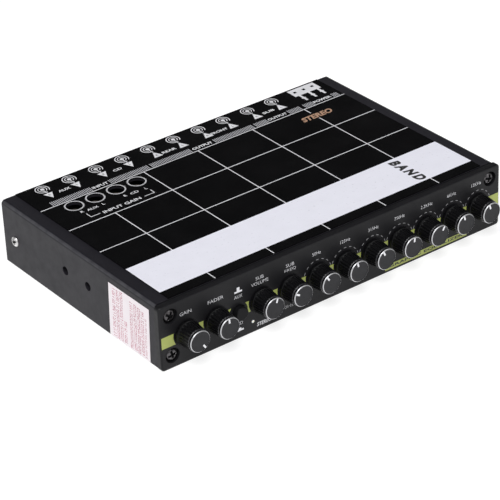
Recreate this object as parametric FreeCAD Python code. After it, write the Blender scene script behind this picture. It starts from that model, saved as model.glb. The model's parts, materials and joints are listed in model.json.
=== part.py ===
"""Half-DIN in-dash graphic equalizer: steel case, front panel, boards, controls and rear sockets.

Units are millimetres. The origin is the centre of the case's bottom face, +Z is up,
+X is to the right seen from the front and +Y points to the rear.
"""
import FreeCAD, Part
import math
import os

V = FreeCAD.Vector
AXIS_X = V(1, 0, 0)
AXIS_Y = V(0, 1, 0)
AXIS_Z = V(0, 0, 1)

# case; OVER is how far a cutting tool runs past the face that it cuts. Heights are measured from
# a datum just above the underside, BASE, and every part is raised so that the case stands on z = 0
CASE_W = 178.0
BASE = -0.7
CASE_D = 115.0
SHEET = 1.0
COVER_TOP = 28.7
COVER_BOTTOM = BASE + 0.3
OVERLAY_T = 0.4
OVERLAY_INSET = 0.2
OVERLAY_HALF_W = 82.0
BEND_R = 1.8
SLIDE_GAP = 0.1
OVER = 1.0
HALF_W = CASE_W / 2
FRONT_Y = -CASE_D / 2
REAR_Y = CASE_D / 2

# front panel and the groove behind it
PANEL_T = 3.0
PANEL_HALF_W = 89.7
PANEL_TOP = 28.75
PANEL_CORNER_R = 1.6
PANEL_EDGE = 0.8
PANEL_BACK = FRONT_Y + PANEL_T
GROOVE = 0.7
FLOOR_TOP = BASE + SHEET
COVER_FRONT = PANEL_BACK + SLIDE_GAP
TOP_FRONT = PANEL_BACK + GROOVE
WALL_FRONT = PANEL_BACK + SLIDE_GAP
WALL_BACK = WALL_FRONT + SHEET
WALL_TOP = 27.5
WALL_CORNER_R = 1.5
REAR_WALL_OUT = REAR_Y - 0.5
REAR_WALL_IN = REAR_WALL_OUT - SHEET
CHASSIS_HALF_W = HALF_W - SHEET - SLIDE_GAP
FLANGE_H = 9.0
TAB_TOP = 17.0
TAB_W = 10.0

# rotary controls: name, centre in X, pointer angle at rest (clockwise from straight up)
PITCH = 14.6
KNOB_Z = 13.2
FIRST_BAND_X = -10.6
BAND_ANGLES = [-33.0, -14.0, -24.0, 7.0, 33.0, -16.0, -19.0]
LEFT_CONTROLS = [
    ("gain", -77.0, 147.0),
    ("fader", -62.4, -4.0),
    ("sub_volume", -39.8, 17.0),
    ("sub_frequency", -25.2, -60.0),
]
BAND_CONTROLS = [
    ("band_%d" % (i + 1), FIRST_BAND_X + i * PITCH, angle) for i, angle in enumerate(BAND_ANGLES)
]
CONTROLS = LEFT_CONTROLS + BAND_CONTROLS

SHAFT_R = 3.0
SHAFT_END_GAP = 0.2
BUSH_R = 3.5
BUSH_BORE_R = 3.05
BUSH_L = 3.2
POT_HALF_W = 4.75
POT_HALF_H = 5.5
POT_D = 6.5
POT_LEG_PITCH = 2.5
POT_LEG_HALF = 0.4
POT_LEG_T = 1.2
POT_LEG_DROP = 2.0
POT_BACK = WALL_BACK + POT_D
NUT_R = 5.7
NUT_T = 1.8
NUT_POCKET_R = 6.3
NUT_POCKET_D = 2.1
PANEL_HOLE_R = 3.9

# knob
KNOB_GAP = 0.4
KNOB_BACK = FRONT_Y - KNOB_GAP
KNOB_L = 9.1
KNOB_FRONT = KNOB_BACK - KNOB_L
KNOB_BASE_R = 5.75
KNOB_SKIRT_R = 5.5
KNOB_NECK_R = 4.9
KNOB_CAP_R = 4.75
KNOB_BASE_L = 1.4
KNOB_CAP_L = 1.3
KNOB_ROUND = 0.4
KNOB_BORE_D = 6.6
KNOB_RIBS = 24
RIB_R = 0.28
POINTER_W = 0.9
POINTER_IN = 2.3
POINTER_DEPTH = 0.25
SHAFT_BACK = WALL_BACK + 3.0
SHAFT_FRONT = KNOB_BACK - KNOB_BORE_D

# push button and its switch
BUTTON_X = -51.0
BUTTON_Z = 12.0
BUTTON_R = 3.0
BUTTON_HOLE_R = 3.3
BUTTON_ROUND = 0.45
BUTTON_FRONT = FRONT_Y - 2.6
BUTTON_BACK = FRONT_Y + 4.4
PLUNGER_HALF = 1.5
PLUNGER_GAP = 0.08
PLUNGER_GRIP = 4.5
PLUNGER_BACK = -44.0
SWITCH_HALF = 4.2
SWITCH_FRONT = -49.0
SWITCH_BACK = -36.0
SWITCH_BORE_BACK = -38.0

# indicator
LED_X = -44.5
LED_Z = 4.8
LED_R = 0.9
LED_FLANGE_R = 1.7
LED_FLANGE_T = 1.0
LED_OUT = 0.3
LED_ROUND = 0.35
LEAD_HALF = 0.25

# screws
PANEL_SCREW_PLACES = [(-84.2, 23.4), (-84.2, 5.3), (84.0, 23.4), (84.0, 5.3)]
PAN_HEAD_R = 2.8
PAN_HEAD_T = 1.7
HEAD_ROUND = 0.5
PANEL_RECESS_R = 3.4
PANEL_RECESS_D = 1.9
SHANK_R = 1.4
SHANK_HOLE_R = 1.5
SHANK_L = 7.0
CROSS_L = 3.2
CROSS_W = 0.65
CROSS_D = 0.9
SIDE_SCREW_Y = 48.9
SIDE_SCREW_Z = 12.4
SIDE_HEAD_R = 2.3
SIDE_HEAD_T = 1.0
SIDE_SHANK_L = 5.0

# tapped bracket holes in the cover's sides
BRACKET_Y = (-6.2, 10.3)
BRACKET_Z = 15.4
TAP_R = 2.0
COLLAR_R = 3.2
COLLAR_L = 1.6

# sticker
LABEL_Y = (-50.0, -22.0)
LABEL_Z = (0.4, 24.8)
LABEL_T = 0.12

# boards
BOARD_T = 1.6
MAIN_BOARD_Z = 6.0
MAIN_BOARD_TOP = MAIN_BOARD_Z + BOARD_T
MAIN_HALF_W = 84.0
MAIN_FRONT = -34.5
MAIN_BACK = 53.0
CONTROL_BOARD_Z = (2.6, 26.0)
STANDOFF_R = 2.5
BOARD_SCREW_PLACES = [(-79.0, -30.0), (79.0, -30.0), (-79.0, 25.0), (79.0, 25.0), (8.0, 0.0)]
LINK_PINS = 16
LINK_PITCH = 2.54
LINK_PIN = 0.6
LINK_STRIP = 2.5
LINK_REACH = 2.0
SEAT_GAP = 0.6

# phono sockets
PHONO_COUNT = 10
PHONO_PITCH = 13.71
PHONO_FIRST_X = -71.05
PHONO_Z = 14.4
PHONO_XS = [PHONO_FIRST_X + i * PHONO_PITCH for i in range(PHONO_COUNT)]
SHELL_R = 4.15
SHELL_WALL = 0.35
SHELL_L = 9.4
SHELL_FLANGE_R = 5.3
SHELL_FLANGE_T = 0.6
SHELL_HOLE_R = 4.35
SHELL_CHAMFER = 0.25
INSULATOR_SINK = 1.0
CONTACT_R = 2.0
CONTACT_BORE_R = 1.6
CONTACT_SINK = 1.6
CONTACT_TAIL = 6.0
HOUSING_D = 10.5
HOUSING_H = 13.0
HOUSING_HALF_W = 13.4

# power header and its plug
POWER_X = 71.0
POLE_PITCH = 5.08
POLES = 3
HEADER_HALF_W = 8.6
HEADER_Z = (8.4, 14.8)
HEADER_FRONT = 46.0
HEADER_BACK = 59.0
HEADER_WALL = 0.9
HEADER_FLOOR_Y = 49.0
PIN_HALF = 0.5
PIN_BACK = 56.5
PIN_TAIL = 1.5
POWER_PIN_Z = 11.4
PLUG_HALF_W = 7.6
PLUG_FRONT = 49.6
PLUG_BACK = 65.6
PLUG_TOWER_Y = 61.9
PLUG_Z = (9.5, 13.7)
PLUG_SHOULDER_Y = 59.5
PLUG_SHOULDER_Z = 16.6
PLUG_TOP = 20.3
PLUG_TOWER_R = 2.45
PLUG_SCREW_R = 1.9
PLUG_SCREW_T = 1.6
PLUG_SCREW_SINK = 0.9
PLUG_SLOT_HALF = 0.3
PLUG_SLOT_D = 0.7
CONTACT_HALF = 1.05
WIRE_R = 1.5
WIRE_RISE = 1.4
WIRE_DEPTH = 4.0

# input gain trimmers
TRIM_X0 = -68.6
TRIM_PITCH = 10.66
TRIM_Y = 32.4
TRIM_XS = [TRIM_X0 + i * TRIM_PITCH for i in range(4)]
TRIM_HOLE_R = 3.5
TRIM_BODY_HALF = 4.0
TRIM_BODY_TOP = 21.5
TRIM_SPINDLE_R = 1.5
TRIM_BORE_R = 1.55
TRIM_BORE_Z = 17.5
TRIM_SPINDLE_Z = 18.0
TRIM_HEAD_R = 2.9
TRIM_HEAD_Z = (21.8, 26.0)
TRIM_SLOT_W = 0.7
TRIM_SLOT_L = 4.2
TRIM_SLOT_D = 0.9

# components on the main board
CHIP_SIZE = (9.8, 6.3, 3.4)
CHIP_XS = (-66.0, -48.0, -30.0, -12.0, 26.0, 44.0, 62.0)
CHIP_Y = -4.0
CHIP_LEG = (0.5, 1.3, 3.0)
CAN_R = 3.15
CAN_H = 11.0
CAN_ROUND = 0.6
CAN_YS = (-20.0, 12.0)
CAN_XS = (-60.0, -42.0, -24.0, 24.0, 42.0)
CHOKE_X = 66.0
CHOKE_Y = 30.0
CHOKE_R = 7.0
CHOKE_HOLE_R = 2.6
CHOKE_H = 6.0
CHOKE_ROUND = 1.2


def block(x0, x1, y0, y1, z0, z1):
    """Box from its low and high corners."""
    return Part.makeBox(x1 - x0, y1 - y0, z1 - z0, V(x0, y0, z0))


def rod_x(y, z, x0, x1, r):
    """Cylinder along X."""
    return Part.makeCylinder(r, x1 - x0, V(x0, y, z), AXIS_X)


def rod_y(x, z, y0, y1, r):
    """Cylinder along Y."""
    return Part.makeCylinder(r, y1 - y0, V(x, y0, z), AXIS_Y)


def rod_z(x, y, z0, z1, r):
    """Cylinder along Z."""
    return Part.makeCylinder(r, z1 - z0, V(x, y, z0), AXIS_Z)


def cone_y(x, z, y0, y1, r0, r1):
    """Cone along Y with radius r0 at y0 and r1 at y1."""
    return Part.makeCone(r0, r1, y1 - y0, V(x, y0, z), AXIS_Y)


def joined(shapes):
    """One solid from overlapping or touching shapes."""
    return shapes[0].multiFuse(shapes[1:]).removeSplitter()


def cut(shape, tools):
    """Shape with every tool taken away."""
    return shape.cut(tools)


def edges_where(shape, test):
    """Edges whose centre and both ends all meet a test."""
    found = []
    for edge in shape.Edges:
        points = [v.Point for v in edge.Vertexes] + [edge.CenterOfMass]
        if all(test(p) for p in points):
            found.append(edge)
    return found


def near(a, b):
    """True where two lengths agree within a micrometre or so."""
    return abs(a - b) < 1e-3


def save(name, shape):
    """Writes one node, a solid or a group of solids, raised to stand on z = 0."""
    shape.translate(V(0, 0, -BASE))
    shape.exportStep("parts/%s.step" % name)


def group(shapes):
    """Group of separate solids for one node."""
    return Part.makeCompound(shapes)


def cross_recess_y(x, z, y_face):
    """Phillips recess cut into a head whose outer face is at y_face and faces -Y."""
    arm = CROSS_L / 2
    half = CROSS_W / 2
    deep = y_face + CROSS_D
    flat = block(x - arm, x + arm, y_face - OVER, deep, z - half, z + half)
    upright = block(x - half, x + half, y_face - OVER, deep, z - arm, z + arm)
    return [flat, upright]


def hex_prism_y(x, z, y0, y1, r):
    """Hexagonal prism along Y with corner radius r."""
    turns = [math.radians(60 * i) for i in range(7)]
    corners = [V(x + r * math.cos(t), y0, z + r * math.sin(t)) for t in turns]
    return Part.Face(Part.makePolygon(corners)).extrude(V(0, y1 - y0, 0))


def bottom_chassis():
    """Folded tray: floor, front wall for the controls, rear wall for the sockets, low side flanges."""
    w = CHASSIS_HALF_W
    floor = block(-w, w, WALL_FRONT, REAR_WALL_OUT, BASE, FLOOR_TOP)
    front = block(-w, w, WALL_FRONT, WALL_BACK, BASE, WALL_TOP)
    rear = block(-w, w, REAR_WALL_IN, REAR_WALL_OUT, BASE, WALL_TOP)
    walls = [floor, front, rear]
    for side in (-1, 1):
        x0, x1 = sorted((side * w, side * (w - SHEET)))
        walls.append(block(x0, x1, WALL_FRONT, REAR_WALL_OUT, BASE, FLANGE_H))
        tab0 = SIDE_SCREW_Y - TAB_W / 2
        walls.append(block(x0, x1, tab0, tab0 + TAB_W, BASE, TAB_TOP))
    y0, y1 = WALL_FRONT - OVER, WALL_BACK + OVER
    holes = [rod_y(x, KNOB_Z, y0, y1, BUSH_R + SLIDE_GAP) for _, x, _ in CONTROLS]
    holes += [rod_y(x, z, y0, y1, SHANK_HOLE_R) for x, z in PANEL_SCREW_PLACES]
    holes.append(rod_y(LED_X, LED_Z, y0, y1, LED_R + SLIDE_GAP))
    holes.append(rod_y(BUTTON_X, BUTTON_Z, y0, y1, BUTTON_HOLE_R))
    y0, y1 = REAR_WALL_IN - OVER, REAR_WALL_OUT + OVER
    holes += [rod_y(x, PHONO_Z, y0, y1, SHELL_HOLE_R) for x in PHONO_XS]
    slot_w = HEADER_HALF_W + SLIDE_GAP
    slot_z = (HEADER_Z[0] - SLIDE_GAP, HEADER_Z[1] + SLIDE_GAP)
    holes.append(block(POWER_X - slot_w, POWER_X + slot_w, y0, y1, *slot_z))
    for side in (-1, 1):
        x0, x1 = sorted((side * (w + OVER), side * (w - SHEET - OVER)))
        holes.append(rod_x(SIDE_SCREW_Y, SIDE_SCREW_Z, x0, x1, SHANK_HOLE_R))
    tray = joined(walls)
    corners = edges_where(tray, lambda p: near(abs(p.x), w) and near(p.z, WALL_TOP))
    return cut(tray.makeFillet(WALL_CORNER_R, corners), holes)


def top_cover():
    """Inverted U of sheet steel: sides up to the panel, top set back by the groove, tapped holes."""
    outer = block(-HALF_W, HALF_W, COVER_FRONT, REAR_Y, COVER_BOTTOM, COVER_TOP)
    bends = edges_where(outer, lambda p: near(abs(p.x), HALF_W) and near(p.z, COVER_TOP))
    outer = outer.makeFillet(BEND_R, bends)
    inner_w = HALF_W - SHEET
    inner_top = COVER_TOP - SHEET
    inner = block(-inner_w, inner_w, COVER_FRONT - OVER, REAR_Y + OVER, COVER_BOTTOM - OVER, inner_top)
    inner_bends = edges_where(inner, lambda p: near(abs(p.x), inner_w) and near(p.z, inner_top))
    inner = inner.makeFillet(BEND_R - SHEET, inner_bends)
    groove = block(-HALF_W - OVER, HALF_W + OVER, COVER_FRONT - OVER, TOP_FRONT,
                   COVER_TOP - BEND_R, COVER_TOP + OVER)
    shell = cut(outer, [inner, groove])
    collars = []
    holes = [rod_z(x, TRIM_Y, COVER_TOP - 2 * SHEET, COVER_TOP + OVER, TRIM_HOLE_R) for x in TRIM_XS]
    for side in (-1, 1):
        x_in, x_out = sorted((side * (inner_w - COLLAR_L), side * (inner_w + SHEET / 2)))
        h_in, h_out = sorted((side * (inner_w - COLLAR_L - OVER), side * (HALF_W + OVER)))
        for y in BRACKET_Y:
            collars.append(rod_x(y, BRACKET_Z, x_in, x_out, COLLAR_R))
            holes.append(rod_x(y, BRACKET_Z, h_in, h_out, TAP_R))
        holes.append(rod_x(SIDE_SCREW_Y, SIDE_SCREW_Z, h_in, h_out, SHANK_HOLE_R))
    return cut(joined([shell] + collars), holes)


def top_overlay():
    """Printed sheet bonded on the cover's top."""
    sheet = block(-OVERLAY_HALF_W, OVERLAY_HALF_W, TOP_FRONT + OVERLAY_INSET,
                  REAR_Y - OVERLAY_INSET, COVER_TOP, COVER_TOP + OVERLAY_T)
    holes = [rod_z(x, TRIM_Y, COVER_TOP - OVER, COVER_TOP + OVER, TRIM_HOLE_R) for x in TRIM_XS]
    return cut(sheet, holes)


def front_panel():
    """Moulded panel with rounded corners, softened front edges, control holes and screw recesses."""
    slab = block(-PANEL_HALF_W, PANEL_HALF_W, FRONT_Y, PANEL_BACK, BASE, PANEL_TOP)
    corners = edges_where(slab, lambda p: near(abs(p.x), PANEL_HALF_W)
                          and (near(p.z, PANEL_TOP) or near(p.z, BASE)))
    slab = slab.makeFillet(PANEL_CORNER_R, corners)
    slab = slab.makeFillet(PANEL_EDGE, edges_where(slab, lambda p: near(p.y, FRONT_Y)))
    front, back = FRONT_Y - OVER, PANEL_BACK + OVER
    holes = []
    for _, x, _ in CONTROLS:
        holes.append(rod_y(x, KNOB_Z, front, back, PANEL_HOLE_R))
        holes.append(rod_y(x, KNOB_Z, PANEL_BACK - NUT_POCKET_D, back, NUT_POCKET_R))
    for x, z in PANEL_SCREW_PLACES:
        holes.append(rod_y(x, z, front, back, SHANK_HOLE_R))
        holes.append(rod_y(x, z, front, FRONT_Y + PANEL_RECESS_D, PANEL_RECESS_R))
    holes.append(rod_y(LED_X, LED_Z, front, back, LED_R + SLIDE_GAP))
    holes.append(rod_y(BUTTON_X, BUTTON_Z, front, back, BUTTON_HOLE_R))
    return cut(slab, holes)


def panel_screw(x, z):
    """Pan-head screw through the front panel into the chassis wall."""
    face = FRONT_Y + PANEL_RECESS_D - PAN_HEAD_T
    head = rod_y(x, z, face, FRONT_Y + PANEL_RECESS_D, PAN_HEAD_R)
    head = head.makeFillet(HEAD_ROUND, edges_where(head, lambda p: near(p.y, face)))
    shank = rod_y(x, z, FRONT_Y + PANEL_RECESS_D, FRONT_Y + PANEL_RECESS_D + SHANK_L, SHANK_R)
    return cut(joined([head, shank]), cross_recess_y(x, z, face))


def side_screw(side):
    """Silver screw through one side of the cover into the chassis tab."""
    face = side * (HALF_W + SIDE_HEAD_T)
    x0, x1 = sorted((face, side * HALF_W))
    head = rod_x(SIDE_SCREW_Y, SIDE_SCREW_Z, x0, x1, SIDE_HEAD_R)
    s0, s1 = sorted((side * HALF_W, side * (HALF_W - SIDE_SHANK_L)))
    shank = rod_x(SIDE_SCREW_Y, SIDE_SCREW_Z, s0, s1, SHANK_R)
    c0, c1 = sorted((face - side * CROSS_D, face + side))
    arm = CROSS_L / 2
    half = CROSS_W / 2
    y, z = SIDE_SCREW_Y, SIDE_SCREW_Z
    flat = block(c0, c1, y - arm, y + arm, z - half, z + half)
    upright = block(c0, c1, y - half, y + half, z - arm, z + arm)
    return cut(joined([head, shank]), [flat, upright])


def side_label():
    """Thin sticker on the left side."""
    return block(-HALF_W - LABEL_T, -HALF_W, LABEL_Y[0], LABEL_Y[1], LABEL_Z[0], LABEL_Z[1])


def main_board():
    """Horizontal circuit board with its screw holes."""
    board = block(-MAIN_HALF_W, MAIN_HALF_W, MAIN_FRONT, MAIN_BACK, MAIN_BOARD_Z, MAIN_BOARD_TOP)
    z0, z1 = MAIN_BOARD_Z - OVER, MAIN_BOARD_TOP + OVER
    return cut(board, [rod_z(x, y, z0, z1, SHANK_HOLE_R) for x, y in BOARD_SCREW_PLACES])


def board_standoff(x, y):
    """Round spacer between the floor and the main board."""
    post = rod_z(x, y, FLOOR_TOP, MAIN_BOARD_Z, STANDOFF_R)
    return post.cut(rod_z(x, y, FLOOR_TOP + OVER, MAIN_BOARD_Z + OVER, SHANK_HOLE_R))


def board_screw(x, y):
    """Pan-head screw that holds the main board on a standoff."""
    head = rod_z(x, y, MAIN_BOARD_TOP, MAIN_BOARD_TOP + PAN_HEAD_T, PAN_HEAD_R)
    shank = rod_z(x, y, FLOOR_TOP + OVER, MAIN_BOARD_TOP, SHANK_R)
    face = MAIN_BOARD_TOP + PAN_HEAD_T
    arm = CROSS_L / 2
    half = CROSS_W / 2
    flat = block(x - arm, x + arm, y - half, y + half, face - CROSS_D, face + OVER)
    upright = block(x - half, x + half, y - arm, y + arm, face - CROSS_D, face + OVER)
    return cut(joined([head, shank]), [flat, upright])


def control_board():
    """Upright circuit board behind the potentiometers, notched for the push switch."""
    board = block(-MAIN_HALF_W, MAIN_HALF_W, POT_BACK, POT_BACK + BOARD_T, *CONTROL_BOARD_Z)
    half = SWITCH_HALF + SLIDE_GAP
    notch = block(BUTTON_X - half, BUTTON_X + half, POT_BACK - OVER, POT_BACK + BOARD_T + OVER,
                  BUTTON_Z - half, BUTTON_Z + half)
    return board.cut(notch)


def board_link():
    """Right-angle pin header from the control board down to the main board."""
    x0 = -LINK_PINS * LINK_PITCH / 2
    y0 = POT_BACK + BOARD_T
    y1 = y0 + LINK_STRIP
    low = MAIN_BOARD_TOP + SEAT_GAP
    strip = block(x0, -x0, y0, y1, low, low + LINK_STRIP)
    pins = []
    z = low + LINK_STRIP / 2
    half = LINK_PIN / 2
    for i in range(LINK_PINS):
        x = x0 + (i + 0.5) * LINK_PITCH
        reach = MAIN_FRONT + LINK_REACH
        pins.append(block(x - half, x + half, y1, reach, z - half, z + half))
        pins.append(block(x - half, x + half, reach - LINK_PIN, reach, MAIN_BOARD_TOP, z))
    return joined([strip] + pins)


def potentiometer(x):
    """Square body, threaded bushing with a running bore, three terminals."""
    low = KNOB_Z - POT_HALF_H
    body = block(x - POT_HALF_W, x + POT_HALF_W, WALL_BACK, POT_BACK, low, KNOB_Z + POT_HALF_H)
    bushing = rod_y(x, KNOB_Z, WALL_BACK - BUSH_L, WALL_BACK, BUSH_R)
    legs = []
    for i in (-1, 0, 1):
        lx = x + i * POT_LEG_PITCH
        legs.append(block(lx - POT_LEG_HALF, lx + POT_LEG_HALF, POT_BACK - POT_LEG_T, POT_BACK,
                          low - POT_LEG_DROP, KNOB_Z))
    bore = rod_y(x, KNOB_Z, WALL_BACK - BUSH_L - OVER, SHAFT_BACK + SHAFT_END_GAP, BUSH_BORE_R)
    return joined([body, bushing] + legs).cut(bore)


def pot_nut(x):
    """Hexagonal nut that clamps a bushing to the chassis wall."""
    nut = hex_prism_y(x, KNOB_Z, WALL_FRONT - NUT_T, WALL_FRONT, NUT_R)
    return nut.cut(rod_y(x, KNOB_Z, WALL_FRONT - NUT_T - OVER, WALL_FRONT + OVER, BUSH_R))


def pot_shaft(x):
    """Round shaft from inside the potentiometer into the knob."""
    return rod_y(x, KNOB_Z, SHAFT_FRONT, SHAFT_BACK, SHAFT_R)


def knob(x, angle):
    """Ribbed, tapered knob with a stepped cap and a pointer slot."""
    neck_front = KNOB_FRONT + KNOB_CAP_L
    base_front = KNOB_BACK - KNOB_BASE_L
    base = rod_y(x, KNOB_Z, base_front, KNOB_BACK, KNOB_BASE_R)
    neck = cone_y(x, KNOB_Z, neck_front, base_front, KNOB_NECK_R, KNOB_SKIRT_R)
    cap = rod_y(x, KNOB_Z, KNOB_FRONT, neck_front, KNOB_CAP_R)
    cap = cap.makeFillet(KNOB_ROUND, edges_where(cap, lambda p: near(p.y, KNOB_FRONT)))
    shape = joined([base, neck, cap])
    grooves = []
    for i in range(KNOB_RIBS):
        turn = 2 * math.pi * i / KNOB_RIBS
        front = V(KNOB_NECK_R * math.cos(turn), neck_front, KNOB_NECK_R * math.sin(turn))
        back = V(KNOB_SKIRT_R * math.cos(turn), base_front, KNOB_SKIRT_R * math.sin(turn))
        run = back - front
        grooves.append(Part.makeCylinder(RIB_R, run.Length, front + V(x, 0, KNOB_Z), run))
    half = POINTER_W / 2
    slot = block(x - half, x + half, KNOB_FRONT - OVER, KNOB_FRONT + POINTER_DEPTH,
                 KNOB_Z + POINTER_IN, KNOB_Z + KNOB_CAP_R + OVER)
    bore = rod_y(x, KNOB_Z, SHAFT_FRONT, KNOB_BACK + OVER, SHAFT_R)
    shape = cut(shape, grooves + [slot, bore])
    shape.rotate(V(x, 0, KNOB_Z), AXIS_Y, angle)
    return shape


def button_cap():
    """Round cap of the push button, with a socket for the plunger."""
    cap = rod_y(BUTTON_X, BUTTON_Z, BUTTON_FRONT, BUTTON_BACK, BUTTON_R)
    cap = cap.makeFillet(BUTTON_ROUND, edges_where(cap, lambda p: near(p.y, BUTTON_FRONT)))
    socket = block(BUTTON_X - PLUNGER_HALF, BUTTON_X + PLUNGER_HALF, BUTTON_BACK - PLUNGER_GRIP,
                   BUTTON_BACK + OVER, BUTTON_Z - PLUNGER_HALF, BUTTON_Z + PLUNGER_HALF)
    return cap.cut(socket)


def switch_plunger():
    """Square slider from the button cap into the switch."""
    return block(BUTTON_X - PLUNGER_HALF, BUTTON_X + PLUNGER_HALF, BUTTON_BACK - PLUNGER_GRIP,
                 PLUNGER_BACK, BUTTON_Z - PLUNGER_HALF, BUTTON_Z + PLUNGER_HALF)


def switch_body():
    """Latching switch with a bore for the plunger and its travel."""
    body = block(BUTTON_X - SWITCH_HALF, BUTTON_X + SWITCH_HALF, SWITCH_FRONT, SWITCH_BACK,
                 BUTTON_Z - SWITCH_HALF, BUTTON_Z + SWITCH_HALF)
    half = PLUNGER_HALF + PLUNGER_GAP
    bore = block(BUTTON_X - half, BUTTON_X + half, SWITCH_FRONT - OVER, SWITCH_BORE_BACK,
                 BUTTON_Z - half, BUTTON_Z + half)
    return body.cut(bore)


def power_led():
    """Round indicator with a domed front, a flange and two leads."""
    front = FRONT_Y - LED_OUT
    lens = rod_y(LED_X, LED_Z, front, WALL_BACK, LED_R)
    lens = lens.makeFillet(LED_ROUND, edges_where(lens, lambda p: near(p.y, front)))
    flange = rod_y(LED_X, LED_Z, WALL_BACK, WALL_BACK + LED_FLANGE_T, LED_FLANGE_R)
    leads = []
    z0, z1 = LED_Z - LEAD_HALF, LED_Z + LEAD_HALF
    for side in (-1, 1):
        x = LED_X + side * LINK_PITCH / 2
        leads.append(block(x - LEAD_HALF, x + LEAD_HALF, WALL_BACK + LED_FLANGE_T, POT_BACK, z0, z1))
    return joined([lens, flange] + leads)


def phono_housing(x):
    """Plastic block behind one pair of phono sockets."""
    block_back = REAR_WALL_IN
    body = block(x - HOUSING_HALF_W, x + HOUSING_HALF_W, block_back - HOUSING_D, block_back,
                 MAIN_BOARD_TOP, MAIN_BOARD_TOP + HOUSING_H)
    y0, y1 = block_back - CONTACT_TAIL, block_back + OVER
    centres = [x - PHONO_PITCH / 2, x + PHONO_PITCH / 2]
    return cut(body, [rod_y(centre, PHONO_Z, y0, y1, CONTACT_R) for centre in centres])


def phono_shell(x):
    """Nickel outer contact with a flange against the rear wall."""
    out = REAR_WALL_OUT
    flange = rod_y(x, PHONO_Z, out, out + SHELL_FLANGE_T, SHELL_FLANGE_R)
    barrel = rod_y(x, PHONO_Z, REAR_WALL_IN, out + SHELL_L, SHELL_R)
    barrel = barrel.makeChamfer(SHELL_CHAMFER, edges_where(barrel, lambda p: near(p.y, out + SHELL_L)))
    shell = joined([flange, barrel])
    return shell.cut(rod_y(x, PHONO_Z, REAR_WALL_IN - OVER, out + SHELL_L + OVER, SHELL_R - SHELL_WALL))


def phono_insulator(x):
    """Coloured ring that fills the shell round the centre contact."""
    out = REAR_WALL_OUT + SHELL_L - INSULATOR_SINK
    ring = rod_y(x, PHONO_Z, REAR_WALL_IN, out, SHELL_R - SHELL_WALL)
    return ring.cut(rod_y(x, PHONO_Z, REAR_WALL_IN - OVER, out + OVER, CONTACT_R))


def phono_contact(x):
    """Tubular centre contact."""
    back = REAR_WALL_OUT + SHELL_L - CONTACT_SINK
    tube = rod_y(x, PHONO_Z, REAR_WALL_IN - CONTACT_TAIL, back, CONTACT_R)
    return tube.cut(rod_y(x, PHONO_Z, REAR_WALL_IN - CONTACT_TAIL / 2, back + OVER, CONTACT_BORE_R))


def pole_xs():
    """Centres of the power contacts."""
    return [POWER_X + (i - (POLES - 1) / 2) * POLE_PITCH for i in range(POLES)]


def power_header():
    """Shrouded header, open to the rear, with slits for its pins."""
    low, high = HEADER_Z
    body = block(POWER_X - HEADER_HALF_W, POWER_X + HEADER_HALF_W, HEADER_FRONT, HEADER_BACK, low, high)
    wall = HEADER_WALL
    pocket = block(POWER_X - HEADER_HALF_W + wall, POWER_X + HEADER_HALF_W - wall, HEADER_FLOOR_Y,
                   HEADER_BACK + OVER, low + wall, high - wall)
    slits = []
    for x in pole_xs():
        slits.append(block(x - PIN_HALF, x + PIN_HALF, HEADER_FRONT - OVER, HEADER_FLOOR_Y + OVER,
                           POWER_PIN_Z - PIN_HALF, POWER_PIN_Z + PIN_HALF))
    return cut(body, [pocket] + slits)


def header_pin(x):
    """Square pin, bent down to the main board in front of the header."""
    tail_y = HEADER_FRONT - PIN_TAIL
    z = POWER_PIN_Z
    run = block(x - PIN_HALF, x + PIN_HALF, tail_y, PIN_BACK, z - PIN_HALF, z + PIN_HALF)
    tail = block(x - PIN_HALF, x + PIN_HALF, tail_y, tail_y + 2 * PIN_HALF, MAIN_BOARD_TOP, z)
    return joined([run, tail])


def power_plug():
    """Screw terminal plug: contact nose, sloped shoulder and three round screw towers."""
    low, nose_top = PLUG_Z
    outline = [V(0, PLUG_FRONT, low), V(0, PLUG_BACK, low), V(0, PLUG_BACK, PLUG_SHOULDER_Z),
               V(0, PLUG_TOWER_Y, PLUG_SHOULDER_Z), V(0, PLUG_SHOULDER_Y, nose_top),
               V(0, PLUG_FRONT, nose_top), V(0, PLUG_FRONT, low)]
    body = Part.Face(Part.makePolygon(outline)).extrude(V(2 * PLUG_HALF_W, 0, 0))
    body.translate(V(POWER_X - PLUG_HALF_W, 0, 0))
    towers = [rod_z(x, PLUG_TOWER_Y, low + OVER, PLUG_TOP, PLUG_TOWER_R) for x in pole_xs()]
    screw_seat = PLUG_TOP - PLUG_SCREW_SINK - PLUG_SCREW_T
    cuts = []
    for x in pole_xs():
        cuts.append(rod_z(x, PLUG_TOWER_Y, screw_seat, PLUG_TOP + OVER, PLUG_SCREW_R))
        cuts.append(block(x - CONTACT_HALF, x + CONTACT_HALF, PLUG_FRONT - OVER, PIN_BACK + OVER,
                          POWER_PIN_Z - CONTACT_HALF, POWER_PIN_Z + CONTACT_HALF))
        cuts.append(rod_y(x, POWER_PIN_Z + WIRE_RISE, PLUG_BACK - WIRE_DEPTH, PLUG_BACK + OVER, WIRE_R))
    return cut(joined([body] + towers), cuts)


def plug_screw(x):
    """Slotted clamp screw in one tower."""
    top = PLUG_TOP - PLUG_SCREW_SINK
    head = rod_z(x, PLUG_TOWER_Y, top - PLUG_SCREW_T, top, PLUG_SCREW_R)
    slot = block(x - PLUG_SCREW_R - OVER, x + PLUG_SCREW_R + OVER, PLUG_TOWER_Y - PLUG_SLOT_HALF,
                 PLUG_TOWER_Y + PLUG_SLOT_HALF, top - PLUG_SLOT_D, top + OVER)
    return head.cut(slot)


def trimmer_body(x):
    """Square trimmer block with a bore for the rotor's spindle."""
    half = TRIM_BODY_HALF
    body = block(x - half, x + half, TRIM_Y - half, TRIM_Y + half, MAIN_BOARD_TOP, TRIM_BODY_TOP)
    return body.cut(rod_z(x, TRIM_Y, TRIM_BORE_Z, TRIM_BODY_TOP + OVER, TRIM_BORE_R))


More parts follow.
